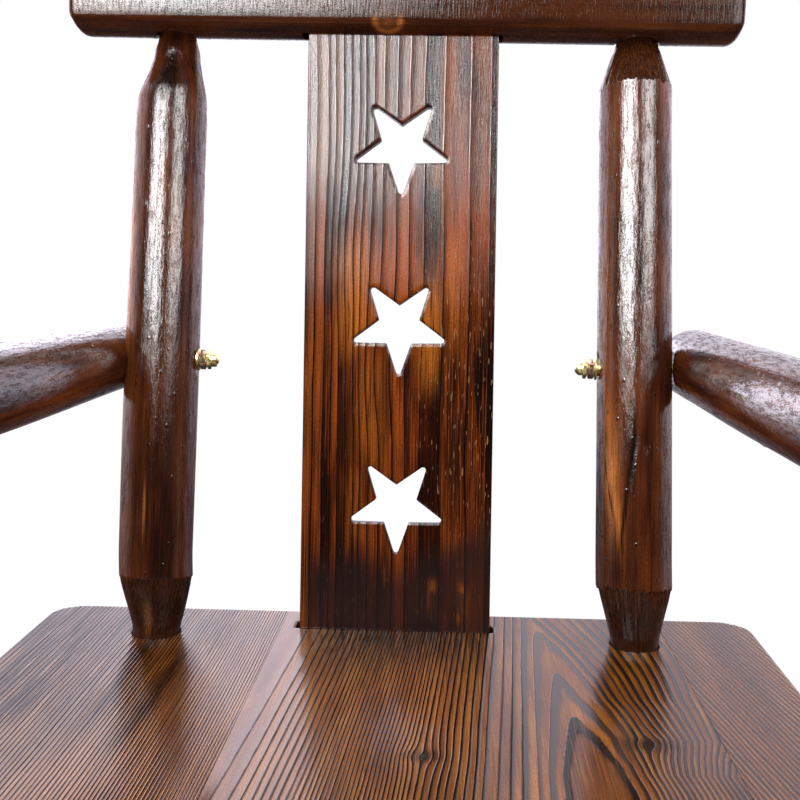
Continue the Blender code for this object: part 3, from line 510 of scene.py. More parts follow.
@dataclass(frozen=True)
class RingedFinish(Finish):
    """Sawn softwood with charred, brushed rings: soft ochre wood, sharp dark ring lines, varnish.

    A ring's dark line is line_width wide at most. Of that, core is the share that is fully dark and blur
    the share over which it fades; vary and spread are how much lines differ in width and in strength, and
    waver is how far they stray. The line ends in a black notch, step wide: painted shade of the ring's step.
    Calm and bands say how even the wood between is, pores how patchy the varnish is. Ridge, fibre and speck
    are reliefs.
    """

    name: str
    deep: Colour
    middle: Colour
    pale: Colour
    line: Colour = (0.010, 0.0045, 0.003)
    warm: Colour = (0.72, 0.20, 0.020)
    char: Colour = (0.009, 0.0045, 0.0035)
    haze: Colour = (0.027, 0.0155, 0.0155)
    painted_glint: Colour = (0.46, 0.24, 0.12)
    line_width: float = 0.0034
    core: float = 0.16
    blur: float = 0.3
    vary: float = 1.0
    spread: float = 0.14
    step: float = 0.0
    calm: float = 0.16
    bands: float = 0.2
    ridge: float = 0.35
    fibre: float = 0.08
    speck: float = 0.06
    waver: float = 0.0011
    pores: float = 0.0
    coat: float = 0.9
    line_coat: float = 0.4
    polish: float = 0.08

    def mixed(self, bench: NodeBench) -> bpy.types.Material:
        """Nodes: ring lines from the ring layer with painted shade on their steps, fibres along the grain,
        char and painted dark reflection, haze, warm patches and painted glints in pores.

        Args:
            bench: The material's nodes.

        Returns:
            The material.
        """
        grain = bench.layer("grain", "Vector")
        pitch = bench.layer("pitch")
        burn = bench.layer("burn")
        fibre = bench.noise(grain, (1100, 1100, 16), 3.0, 0.55)
        cloud = bench.noise(grain, (60, 60, 9), 3.0, 0.55)
        speck = bench.noise(grain, (2300, 2300, 600), 2.0, 0.6)
        hair = bench.noise(grain, (1500, 1500, 45), 3.0, 0.65)
        # Where a place lies in its ring, and the ring's own luck
        stray = (self.waver / pitch).at_most(0.25)
        ring = bench.layer("ring") + (bench.noise(grain, (420, 420, 26), 3.0, 0.6) - 0.5) * stray
        share = bench.math("FRACT", ring)
        number = bench.math("FLOOR", ring)
        chance = bench.run("TexWhiteNoise", {"W": number}, "Value", noise_dimensions="1D")
        evenness = chance * self.spread + (1.0 - self.spread)
        # The dark line at the ring's end: a full core and a soft flank
        gap = (1.0 - share) * pitch
        width = (pitch * 0.7).at_most(self.line_width) * (chance * self.vary + (1.0 - self.vary / 2))
        inner = width * (burn * self.core)
        core = gap.rise(inner, inner + width * self.blur, 1.0, 0.0)
        late = core.at_least(gap.rise(0.0, width, 0.75, 0.0))
        flank = (share * pitch).rise(0.0, 0.0006, 1.0, 0.0)
        # Colour: early wood, the line, painted shade on its step, then char and painted dark reflection, haze
        # and painted pore glints
        tone = cloud * 0.6 + fibre * 0.4 + (chance - 0.5) * self.bands
        early = bench.ramp(
            tone.rise(0.5 - self.calm, 0.5 + self.calm),
            ((0.0, self.deep), (0.5, self.middle), (1.0, self.pale)),
        )
        early = bench.mix(bench.layer("warm") * fibre.rise(0.30, 0.54), early, self.warm)
        early = bench.mix(1.0, early, speck.rise(0.3, 0.7, 0.62, 1.25), "MULTIPLY")
        colour = bench.mix(late * evenness * burn.rise(0.0, 1.0, 0.65, 1.0), early, self.line)
        # Painted shade: a black line with little varnish on the face of each ring's step, where the ridge
        # drops
        edge = (pitch * 0.42).at_most(self.step)
        painted_step_shade = gap.rise(edge * 0.5, edge, 1.0 if self.step else 0.0, 0.0)
        painted_step_shade = painted_step_shade * (evenness * burn.rise(1.0, 1.6, 1.0, 0.25))
        colour = bench.mix(painted_step_shade, colour, self.char)
        scorch_and_shade = bench.layer("char") * fibre.rise(0.74, 0.46)
        colour = bench.mix(scorch_and_shade, colour, self.char)
        colour = bench.mix(bench.layer("haze"), colour, self.haze)
        # Painted highlights: light flecks where the varnish glints in open pores
        glint_dash = bench.noise(grain, (760, 760, 85), 1.0).rise(0.66, 0.70, 0.0, 0.7)
        colour = bench.mix(glint_dash * bench.layer("pore_glint"), colour, self.painted_glint)
        # Relief, and varnish that is thin over the painted step shade, over char and painted dark reflection,
        # and over pores
        height = late.at_least(flank) * self.ridge + hair * self.fibre + speck * self.speck
        rough = fibre.rise(0.3, 0.7, 0.32, 0.44)
        coat = late * (self.line_coat - self.coat) + self.coat
        coat = coat * (1.0 - (painted_step_shade * 0.85).at_least(scorch_and_shade * 0.45))
        coat = coat * bench.noise(grain, (1700, 1700, 800), 1.0).rise(0.40, 0.56, 1.0 - self.pores, 1.0)
        return varnish(bench, colour, rough, height, coat, self.polish)


@dataclass(frozen=True)
class LogFinish(Finish):
    """Peeled log, scorched brown to black in streaks, rubbed and varnished; cut tapers stay fibrous.
    Some char marks are painted shade, and one warm mark is painted light.

    Fibre, skin, speck and dents are reliefs, and so is chatter, which a saw leaves. Dots is the strength
    of dark pimples, and rubbed is how patchy the varnish is.
    """

    name: str
    black: Colour = (0.010, 0.005, 0.0045)
    brown: Colour = (0.085, 0.020, 0.007)
    bright: Colour = (0.21, 0.056, 0.014)
    warm: Colour = (0.80, 0.27, 0.065)
    crack: Colour = (0.035, 0.008, 0.004)
    torn_deep: Colour = (0.042, 0.012, 0.005)
    torn_pale: Colour = (0.13, 0.038, 0.012)
    fibre: float = 0.25
    skin: float = 1.5
    speck: float = 0.3
    dents: float = 2.2
    chatter: float = 0.0
    dots: float = 1.0
    rubbed: float = 0.7
    polish: float = 0.09

    def mixed(self, bench: NodeBench) -> bpy.types.Material:
        """Nodes: streaks and fibres along the log, pimples, fibrous cuts, cracks, char and painted shade, and
        warm marks with some painted light.

        Args:
            bench: The material's nodes.

        Returns:
            The material.
        """
        grain = bench.layer("grain", "Vector")
        cut = bench.layer("cut")
        streak = bench.noise(grain, (160, 160, 7), 3.0, 0.55)
        fibre = bench.noise(grain, (1200, 1200, 30), 3.0, 0.6)
        cloud = bench.noise(grain, (34, 34, 11), 3.0, 0.55)
        speck = bench.noise(grain, (1900, 1900, 620), 2.0, 0.6)
        skin = bench.noise(grain, (640, 640, 170), 3.0, 0.62)
        dents = bench.noise(grain, (270, 270, 60), 2.0, 0.6)
        torn = bench.noise(grain, (900, 900, 75), 2.0, 0.6).rise(0.38, 0.70)
        # Colour: streaky bark, torn cuts, warm marks with some painted light, char and painted shade,
        # hairlines, then dark dots
        tone = streak * 0.4 + cloud * 0.4 + fibre * 0.2
        stops = ((0.0, self.black), (0.42, self.brown), (1.0, self.bright))
        colour = bench.ramp(tone.rise(0.32, 0.68), stops)
        colour = bench.mix(cut, colour, bench.mix(torn, self.torn_deep, self.torn_pale))
        colour = bench.mix(bench.layer("warm") * fibre.rise(0.25, 0.55), colour, self.warm)
        colour = bench.mix(1.0, colour, speck.rise(0.3, 0.7, 0.7, 1.2), "MULTIPLY")
        scorch_and_shade = bench.layer("char") * fibre.rise(0.8, 0.45)
        colour = bench.mix(scorch_and_shade, colour, self.black)
        seam = bench.layer("seam").rise(0.00015, 0.00045, 1.0, 0.0)
        colour = bench.mix(seam, colour, self.crack)
        cells = {"Vector": bench.stretched(grain, (98.0, 98.0, 64.0)), "Scale": 1.0}
        dot = bench.run("TexVoronoi", cells, "Distance", feature="F1").rise(0.05, 0.13, 1.0, 0.0)
        dot = dot * self.dots * (1.0 - cut)
        colour = bench.mix(dot * 0.75, colour, self.black)
        # Relief, with saw marks where there are any
        height = fibre * self.fibre + skin * self.skin + dents * self.dents
        height = height + speck * (scorch_and_shade * 0.9 + self.speck)
        height = height + torn * cut * 0.5 + dot * 1.6 - seam * 1.5
        if self.chatter:
            height = height + bench.noise(grain, (60, 60, 900), 2.0, 0.6) * self.chatter
        rough = fibre.rise(0.3, 0.7, 0.28, 0.38) + cut * 0.10
        # Varnish, rubbed thin in patches and thin over cuts, char and painted shade
        patches = (140, 140, 1000) if self.chatter else (430, 430, 75)
        pores = bench.noise(grain, (1500, 1500, 700), 1.0) + bench.noise(grain, patches, 2.0)
        rubbed = pores.rise(0.80, 1.08, 1.0 - self.rubbed, 1.0)
        bare = (cut * 0.4).at_least((scorch_and_shade * 0.75).at_most(0.8))
        return varnish(bench, colour, rough, height, rubbed * (1.0 - bare), self.polish)


@dataclass(frozen=True)
class PlainTimber(Finish):
    """The same timber for hidden planks, with grain along one axis of the object's own space."""

    name: str
    along: Place
    pale: Colour = (0.16, 0.06, 0.022)
    deep: Colour = (0.05, 0.018, 0.009)

    def mixed(self, bench: NodeBench) -> bpy.types.Material:
        """Nodes: streaks and fibres stretched along the grain.

        Args:
            bench: The material's nodes.

        Returns:
            The material.
        """
        place = bench.run("TexCoord", {}, "Object")
        streak = bench.noise(place, [cells * 2.2 for cells in self.along], 3.0)
        fibre = bench.noise(place, [cells * 12.0 for cells in self.along], 3.0, 0.6)
        tone = (streak * 0.6 + fibre * 0.4).rise(0.38, 0.62)
        colour = bench.ramp(tone, ((0.0, self.deep), (1.0, self.pale)))
        return varnish(bench, colour, fibre.rise(0.3, 0.7, 0.3, 0.45), fibre, 0.6, 0.2)


@dataclass(frozen=True)
class PlatedSteel(Finish):
    """Steel with a plated coat: metallic, lightly mottled."""

    name: str
    first: Colour
    second: Colour
    rough: float

    def mixed(self, bench: NodeBench) -> bpy.types.Material:
        """Nodes: two tints in soft clouds and a faint scuffed relief.

        Args:
            bench: The material's nodes.

        Returns:
            The material.
        """
        place = bench.run("TexCoord", {}, "Object")
        cloud = bench.noise(place, (160, 160, 160), 3.0).rise(0.36, 0.64)
        scuff = bench.noise(place, (1800, 1800, 1800), 2.0)
        return bench.principled(
            {
                "Base Color": bench.mix(cloud, self.first, self.second), "Metallic": 1.0,
                "Roughness": self.rough, "Normal": bench.bump(scuff, 0.00002),
            }
        )


SEAT_FINISH = RingedFinish(
    "seat_varnish", deep=(0.12, 0.030, 0.005), middle=(0.30, 0.090, 0.011), pale=(0.60, 0.240, 0.036),
    line=(0.016, 0.007, 0.005), line_width=0.02, core=0.28, blur=0.45, vary=0.4, spread=0.25, step=0.0013,
    bands=0.10, calm=0.30, ridge=0.9, fibre=0.10, speck=0.05, coat=0.72, line_coat=0.84, pores=0.15,
    polish=0.18, waver=0.0008,
)
SPLAT_FINISH = RingedFinish(
    "splat_varnish", deep=(0.026, 0.005, 0.002), middle=(0.14, 0.024, 0.005), pale=(0.46, 0.094, 0.012),
    ridge=1.2, fibre=1.1, speck=0.24, coat=0.95, pores=0.5, polish=0.10, bands=0.24,
)
LOG_FINISH = LogFinish("log_varnish")
RAIL_FINISH = LogFinish(
    "rail_varnish", brown=(0.062, 0.016, 0.006), bright=(0.115, 0.031, 0.009), skin=0.2, fibre=0.1, speck=0.1,
    chatter=1.2, dots=0.0, dents=0.2, polish=0.10,
)
PLAIN_TIMBER = PlainTimber("plain_timber", (1.0, 30.0, 30.0))
ZINC_YELLOW = PlatedSteel("yellow_plating", (0.95, 0.89, 0.44), (0.92, 0.80, 0.48), 0.30)
ZINC_BRONZE = PlatedSteel("bronze_plating", (0.80, 0.62, 0.42), (0.74, 0.50, 0.38), 0.24)
ZINC_STEEL = PlatedSteel("grey_plating", (0.62, 0.64, 0.66), (0.50, 0.52, 0.54), 0.34)


# Logs


@dataclass(frozen=True)
class Mark:
    """A mark on a log: a knot, pimple, scorch, rubbed patch, patch of painted shade or stripe of painted
    light, fading from its middle.

    Sizes in metres; the bearing in degrees from the front of the stool towards +X.
    """

    along: float
    bearing: float
    length: float
    width: float
    lean: float = 0.0
    rise: float = 0.0
    char: float = 0.0
    warm: float = 0.0
    hollow: bool = False


@dataclass(frozen=True)
class Crack:
    """A drying crack or a scar through given heights and bearings; a crack of no width is a hairline."""

    alongs: tuple[float, ...]
    bearings: tuple[float, ...]
    width: float = 0.0
    depth: float = 0.0003


@dataclass
class Log:
    """A peeled log on an axis, sharpened to a neck at either end or cut square.

    The log's own surface and the sharpened cones are two radius fields, and the log is whichever is less,
    so each shoulder is as ragged as the wood it runs through.

    Pairs are for the lower and the upper end: tapers are the cones' lengths, necks the places where they
    start and lips the steps at their shoulders; drawn says that a cone runs smoothly into the log, and
    level_ends that an end is cut level. Tip is how far the upper neck draws in inside its hole, crowd how
    much the points gather at the front, torn how ragged a cut is, soft how round its shoulder, and peel
    how far the surface lies in from the full radius.
    """

    node: str
    body: Body
    foot: Place
    heading: Place
    span: Pair
    radius: float
    seed: int
    neck: float = 0.0
    tapers: Pair = (0.0, 0.0)
    necks: Pair = (-9.0, 9.0)
    level_ends: tuple[bool, bool] = (False, False)
    lips: Pair = (0.0004, 0.0004)
    drawn: tuple[bool, bool] = (False, False)
    tip: float = 0.0
    end_round: float = 0.004
    step: float = 0.003
    around: int = 120
    crowd: float = 0.0
    pimples: int = 8
    torn: float = 0.5
    tooth_depth: float = 0.0019
    facet_depth: float = 0.0006
    fibre_depth: float = 0.0004
    soft: float = 0.0004
    peel: float = 0.0007
    swell: float = 0.00025
    lobe: float = 0.00055
    lobe_cells: Place = (22, 22, 7)
    ripple: float = 0.00014
    ripple_cells: Place = (120, 120, 12)
    bow: float = 0.0
    marks: tuple[Mark, ...] = ()
    cracks: tuple[Crack, ...] = ()
    slot: str = "charred_log"

    def rows(self) -> tuple[Array, Array]:
        """Places of the rings along the axis, and how far each is drawn in on the end faces.

        Returns:
            Places along the axis and shares of the full radius.
        """
        low, high = self.span
        count = max(int((high - low) / self.step), 12)
        turn = np.linspace(0.0, math.pi / 2, 6)
        bend = self.end_round * (1.0 - np.cos(turn))
        middle = np.linspace(low + self.end_round, high - self.end_round, count)[1:-1]
        if self.crowd:
            # More rings about each shoulder
            near = np.linspace(-0.007, 0.009, 30)
            shoulders = (self.necks[0] + self.tapers[0] - near, self.necks[1] - self.tapers[1] + near)
            middle = np.unique(np.concatenate([middle, *shoulders]))
        along = np.concatenate([[low] * 3, low + bend, middle, high - bend[::-1], [high] * 3])
        edge = 1.0 - self.end_round * (1.0 - np.sin(turn)) / self.radius
        face = np.array([0.12, 0.45, 0.8]) * edge[0]
        share = np.concatenate([face, edge, np.ones(len(middle)), edge[::-1], face[::-1]])
        return along, share

    def marks_all(self) -> tuple[Mark, ...]:
        """The chosen marks and the log's scattered pimples.

        Returns:
            All marks.
        """
        random = np.random.default_rng(self.seed + 90)
        low, high = self.span
        least = (low, -180, 0.0009, 0.0002)
        most = (high, 180, 0.0019, 0.00055)
        small = [
            Mark(along, bearing, 1.3 * width, width, rise=rise, char=0.7)
            for along, bearing, width, rise in random.uniform(least, most, (self.pimples, 4)).tolist()
        ]
        return (*self.marks, *small)

    def bark(self, along: Array, turn: Array, fibre: Array) -> Array:
        """Radius of the peeled log: its size with lobes, ripples and, between necks, a slight swell.

        Args:
            along: Places along the axis.
            turn: Angles round it, in radians; not used here.
            fibre: Places in the log's own space.

        Returns:
            Radii.
        """
        lobes = noise(fibre, self.lobe_cells, self.seed)
        ripple = noise(fibre, self.ripple_cells, self.seed + 1)
        low, high = self.span
        swell = self.swell * np.cos((along - low) / (high - low) * math.tau) if self.neck else 0.0
        return self.radius - self.peel - swell + self.lobe * lobes + self.ripple * ripple

    def cone(self, along: Array, fibre: Array) -> Array:
        """Radius that sharpening leaves: a neck and a drawn taper at each end, in long torn fibres.

        Args:
            along: Places along the axis.
            fibre: Places in the log's own space.

        Returns:
            Radii, large where nothing was cut.
        """
        if not self.neck:
            return np.full(along.shape, 1.0)
        facet = noise(fibre, (75, 75, 10), self.seed + 2)
        torn = noise(fibre, (420, 420, 40), self.seed + 3)
        teeth = noise(fibre, (480, 480, 16), self.seed + 5) + 0.6 * noise(fibre, (160, 160, 9), self.seed + 6)
        sides = []
        reaches = (along - self.necks[0], self.necks[1] - along)
        for taper, lip, drawn, reach in zip(self.tapers, self.lips, self.drawn, reaches):
            ragged = reach + self.torn * self.tooth_depth * teeth * ease(reach, 0.4 * taper, 0.8 * taper)
            share = np.maximum(ragged, 0.0) / taper
            height = self.radius - self.peel - lip - self.neck
            if drawn:
                beyond = 0.3 * np.maximum(reach - taper, 0.0)
                sides.append(self.neck + height * ease(share, 0.0, 1.0) + beyond)
                continue
            rise = height * share * (1.08 - 0.08 * np.minimum(share, 1.0))
            fuzz = ease(share, 0.0, 0.3) * self.torn
            wall = (lip + 0.002) * ease(ragged - taper, 0.0, 0.0012)
            rough = self.facet_depth * facet + self.fibre_depth * torn
            sides.append(self.neck + rise + wall + fuzz * rough)
        return np.minimum(*sides) - self.tip * ease(along, self.necks[1] - 0.004, self.necks[1] + 0.014)

    def off(self, bearing: Array, centre: Array | float) -> Array:
        """Distances round the log to bearings in radians from a bearing in degrees."""
        return np.angle(np.exp(1j * (bearing - np.radians(centre)))) * self.radius

    def weathered(self, places: Array, bearing: Array, bark: Array) -> tuple[Array, dict[str, Array]]:
        """Lays the marks and the cracks on the log.

        Args:
            places: Places along the axis.
            bearing: Bearings round it, in radians.
            bark: Radii of the plain log.

        Returns:
            Radii, and layers for char and painted shade, warm patches with some painted light, and the
            distance to a hairline.
        """
        char = np.zeros_like(bark)
        warm = np.zeros_like(bark)
        seam = np.full_like(bark, 0.01)
        for mark in self.marks_all():
            off = self.off(bearing, mark.bearing)
            up = places - mark.along
            reach = np.hypot(up / mark.length, (off - mark.lean * up) / mark.width)
            spot = np.exp(-(reach**2))
            if mark.hollow:
                half = ease(off, -0.1 * mark.width, 0.1 * mark.width)
                spot = np.exp(-(((reach - 1.0) / 0.22) ** 2)) * half
            bark = bark + mark.rise * spot
            char = np.maximum(char * (1.0 - np.minimum(mark.warm * spot, 1.0)), mark.char * spot)
            warm = np.maximum(warm, mark.warm * spot)
        for crack in self.cracks:
            first, last = crack.alongs[0], crack.alongs[-1]
            off = self.off(bearing, np.interp(places, crack.alongs, crack.bearings))
            ends = ease(places, first, first + 0.03) * ease(-places, -last, 0.03 - last)
            if crack.width:
                groove = np.exp(-((off / crack.width) ** 2)) * ends
                bark = bark - crack.depth * groove
                char = np.maximum(char, groove)
            else:
                seam = np.minimum(seam, np.abs(off) + 0.0006 * (1.0 - ends))
        return bark, {"char": char, "warm": warm, "seam": seam}

    def skin(self) -> Skin:
        """Works the log out on a grid of rings and angles.

        Returns:
            Its skin, with layers for grain, cut ends, char and painted shade, warm patches and hairlines.
        """
        along, share = self.rows()
        axes = axis_frame(np.array(self.heading))
        angle = np.linspace(0.0, math.tau, self.around, endpoint=False)
        angle = angle - self.crowd * np.sin(angle + math.pi / 2)
        places, turn = np.meshgrid(along, angle, indexing="ij")
        circle = np.stack([np.cos(turn), np.sin(turn)], -1)
        fibre = np.concatenate([circle * self.radius, places[..., None]], -1)
        bark = self.bark(places, turn, fibre)
        cone = self.cone(places, fibre)
        cut = ease(bark - cone, -0.0002, 0.0006)
        middle = sum(self.span) / 2
        for drawn, half in zip(self.drawn, (places < middle, places > middle)):
            cut = np.where(half, cut * (0.2 if drawn else 1.0), cut)
        bark, layers = self.weathered(places, turn + math.pi / 2, bark)
        radius = -smooth_greater(-bark, -cone, self.soft) * share[:, None]
        for level, end in zip(self.level_ends, self.span):
            if level:
                tip = 1.0 - ease(np.abs(places - end), 0.0, 0.05)
                places = places - tip * radius * (circle @ axes[:2, 2]) / axes[2, 2]
        round_part = circle * radius[..., None]
        if self.bow:
            low, high = self.necks
            sway = ease(places, low, low + 0.06) * ease(-places, -high, 0.05 - high)
            round_part[..., 0] += self.bow * sway
        local = np.concatenate([round_part, places[..., None]], -1).reshape(-1, 3)
        poles = np.array([[0.0, 0.0, end] for end in self.span])
        local = np.concatenate([local, poles])
        points = np.array(self.foot) + local @ axes
        quads, triangles = tube_faces(len(along), self.around)
        layers = {name: np.append(values, [0.0, 0.0]) for name, values in (layers | {"cut": cut}).items()}
        return Skin(points, quads, triangles, layers | {"grain": local + self.seed * 0.37})

    def build(self, shape: Callable[[Skin], None] | None = None) -> bpy.types.Object:
        """Makes the log's piece.

        Args:
            shape: A last change to its points, such as a saddle or a flat.

        Returns:
            The piece.
        """
        skin = self.skin()
        if shape:
            shape(skin)
        return skin.make(self.node + "_timber", self.body, self.node, self.slot, LOG_FINISH)


@dataclass
class TopRail(Log):
    """The top rail: a log slabbed flat at the front, with blind holes for the posts and a slot below."""

    flat: float = 0.0258
    arris: float = 0.0025
    winding: Pair = (math.radians(-1.0), math.radians(1.0))
    peel: float = 0.0009
    lobe: float = 0.0008
    lobe_cells: Place = (14, 14, 5)
    ripple: float = 0.0001
    ripple_cells: Place = (90, 90, 6)

    def bark(self, along: Array, turn: Array, fibre: Array) -> Array:
        """Radius of the slabbed log: the log's own or the reach to the sawn face, whichever is less.

        Args:
            along: Places along the axis.
            turn: Angles round it, in radians.
            fibre: Places in the log's own space.

        Returns:
            Radii.
        """
        log_radius = super().bark(along, turn, fibre)
        wind = np.interp(along, self.span, self.winding)
        facing = np.maximum(-np.cos(turn - wind), 0.05)
        saw = (self.flat + 0.0003 * noise(fibre, (60, 60, 3), self.seed + 4)) / facing
        return -smooth_greater(-log_radius, -saw, self.arris * 0.4)


# Boards


@dataclass
class Slab:
    """A board as a grid over its face with holes cut through, a rounded edge and relief of the grain.

    The face lies in the frame's first two axes and its third points out of the face.
    """

    node: str
    origin: Place
    axes: Array
    across: Array
    along: Array
    thickness: float
    slot: str
    finish: Finish
    edge: float
    grain_depth: float = 0.00006
    rim_drop: float = 0.0005
    rim_reach: float = 0.0009
    rear_round: float = 0.0
    rear_reach: float = 0.004
    burnt_rim: Pair = (0.0004, 0.0018)

    def outline(self, points: Array) -> Array:
        """Distance in from the board's outer outline, at points in its own space.

        Args:
            points: Places on the face.

        Returns:
            Distances, positive inside.
        """
        x, y = points[..., 0], points[..., 1]
        sides = np.minimum(x - self.across[0], self.across[-1] - x)
        return np.minimum(sides, np.minimum(y - self.along[0], self.along[-1] - y))

    def holes(self) -> list[Field]:
        """Signed distances of the shapes cut through the board."""
        return []

    def rings(self, points: Array) -> Array:
        """Growth rings counted across the face."""
        raise NotImplementedError

    def patches(self, points: Array) -> dict[str, Array]:
        """Strengths of char and painted shade, warm colour, haze, painted glints in open pores and burnt
        rings on the face.
        """
        none = dict.fromkeys(("char", "warm", "haze", "pore_glint"), np.zeros(len(points)))
        return none | {"burn": np.ones(len(points))}

    def skin(self) -> Skin:
        """Works the board out: face, back and the walls between them.

        Returns:
            Its skin, with layers for grain, rings, their pitch and the patches.
        """
        grid = np.stack(np.meshgrid(self.across, self.along, [0.0], indexing="ij"), -1)[:, :, 0]
        rows, columns = grid.shape[:2]
        number = np.arange(rows * columns).reshape(rows, columns)
        corners = (number[:-1, :-1], number[1:, :-1], number[1:, 1:], number[:-1, 1:])
        quads = np.stack(corners, -1).reshape(-1, 4)
        face = grid.reshape(-1, 3).copy()
        rim_distance = np.full(len(face), 1.0)
        for hole in self.holes():
            face, quads, _ = trim(face, quads, hole)
            rim_distance = np.minimum(rim_distance, np.abs(hole(face)))
        used, quads = np.unique(quads, return_inverse=True)
        quads = quads.reshape(-1, 4)
        face = face[used]
        rim_distance = rim_distance[used]
        inward = np.clip(self.outline(face), 0.0, self.edge)
        drop = self.edge - np.sqrt(np.maximum(self.edge**2 - (self.edge - inward) ** 2, 0.0))
        drop = drop + self.rim_drop * (1.0 - ease(rim_distance, 0.0, self.rim_reach))
        ring = self.rings(face)
        step = 2e-4
        slope = [self.rings(face + step * axis) - ring for axis in np.eye(3)[:2]]
        pitch = 1.0 / np.clip(np.hypot(*slope) / step, 20.0, 900.0)
        wave = 0.5 * np.cos((ring - 0.08) * math.tau) - 0.5
        relief = self.grain_depth * ease(pitch, 0.003, 0.006) * wave
        front = face.copy()
        front[:, 2] = relief - drop
        back = face.copy()
        worn = self.rear_round * (1.0 - ease(rim_distance, 0.0, self.rear_reach))
        back[:, 2] = drop - self.thickness + worn
        local = np.concatenate([front, back])
        count = len(face)
        rim = open_edges(quads)
        walls = np.stack([rim[:, 0], rim[:, 0] + count, rim[:, 1] + count, rim[:, 1]], -1)
        quads = np.concatenate([quads, quads[:, ::-1] + count, walls])
        layers = {"ring": np.concatenate([ring, ring + 2.6]), "pitch": np.tile(pitch, 2)}
        layers["grain"] = local[:, (0, 2, 1)] + len(self.node) * 0.31
        layers |= {name: np.tile(values, 2) for name, values in self.patches(face).items()}
        burnt = 0.95 * (1.0 - ease(rim_distance, *self.burnt_rim))
        layers["char"] = np.maximum(layers["char"], np.tile(burnt, 2))
        return Skin(np.array(self.origin) + local @ self.axes, quads, layers=layers)

    def build(self) -> bpy.types.Object:
        """Makes the board's piece.

        Returns:
            The piece.
        """
        return self.skin().make(self.node + "_timber", Body.SEAT, self.node, self.slot, self.finish)


def grid_lines(low: float, high: float, step: float, edge: float) -> Array:
    """Grid lines from low to high, crowded at both ends so that a rounded edge shows.

    Args:
        low: First line.
        high: Last line.
        step: Spacing of the rest.
        edge: Radius of the edge.

    Returns:
        The lines.
    """
    near = edge * np.array([0.0, 0.08, 0.3, 0.62])
    middle = np.linspace(low + edge, high - edge, max(int((high - low) / step), 4))
    return np.concatenate([low + near, middle, high - near[::-1]])


def round_hole(point: Pair, radius: float, lean: float = 0.0) -> Field:
    """Signed distance to a round hole seen on a face that its axis leans over.

    Args:
        point: Where the axis meets the face.
        radius: Its radius.
        lean: The axis's lean along the face's second axis, in radians.

    Returns:
        A function of points.
    """
    x, y = point
    return lambda p: np.hypot(p[..., 0] - x, (p[..., 1] - y) * math.cos(lean)) - radius


def slot_hole(middle: Pair, half: Pair, corner: float) -> Field:
    """Signed distance to a slot with rounded corners.

    Args:
        middle: Its middle on the face.
        half: Its half sizes.
        corner: Radius of its corners.

    Returns:
        A function of points.
    """

    def distance(points: Array) -> Array:
        """Signed distance of points.

        Args:
            points: Places on the face.

        Returns:
            Distances, negative inside.
        """
        x = np.abs(points[..., 0] - middle[0]) - half[0] + corner
        y = np.abs(points[..., 1] - middle[1]) - half[1] + corner
        outside = np.hypot(np.maximum(x, 0.0), np.maximum(y, 0.0))
        return outside + np.minimum(np.maximum(x, y), 0.0) - corner

    return distance


def star_hole(middle: Pair, outer: float, inner: float, tip: float) -> Field:
    """Signed distance to a five-pointed star with one point down.

    Args:
        middle: Its middle on the face.
        outer: Radius of its points.
        inner: Radius of its notches.
        tip: Rounding of its points.

    Returns:
        A function of points.
    """
    half_turn = math.pi / 5
    point = np.array([outer, 0.0])
    painted_step_shade = inner * np.array([math.cos(half_turn), math.sin(half_turn)])
    edge = (painted_step_shade - point) / np.linalg.norm(painted_step_shade - point)
    normal = np.array([edge[1], -edge[0]])
    centre = np.array([outer - tip / math.sin(math.atan2(painted_step_shade[1], outer - painted_step_shade[0])), 0.0])

    def distance(points: Array) -> Array:
        """Signed distance of points: the star is folded to half a point, which has one straight edge.

        Args:
            points: Places on the face.

        Returns:
            Distances, negative inside.
        """
        x = points[..., 0] - middle[0]
        y = points[..., 1] - middle[1]
        reach = np.hypot(x, y)
        fold = np.abs((np.arctan2(y, x) + math.pi / 2 + half_turn) % (2 * half_turn) - half_turn)
        place = np.stack([reach * np.cos(fold), reach * np.sin(fold)], -1)
        off = place - centre
        return np.where(off @ edge < 0.0, np.hypot(off[..., 0], off[..., 1]), off @ normal) - tip

    return distance


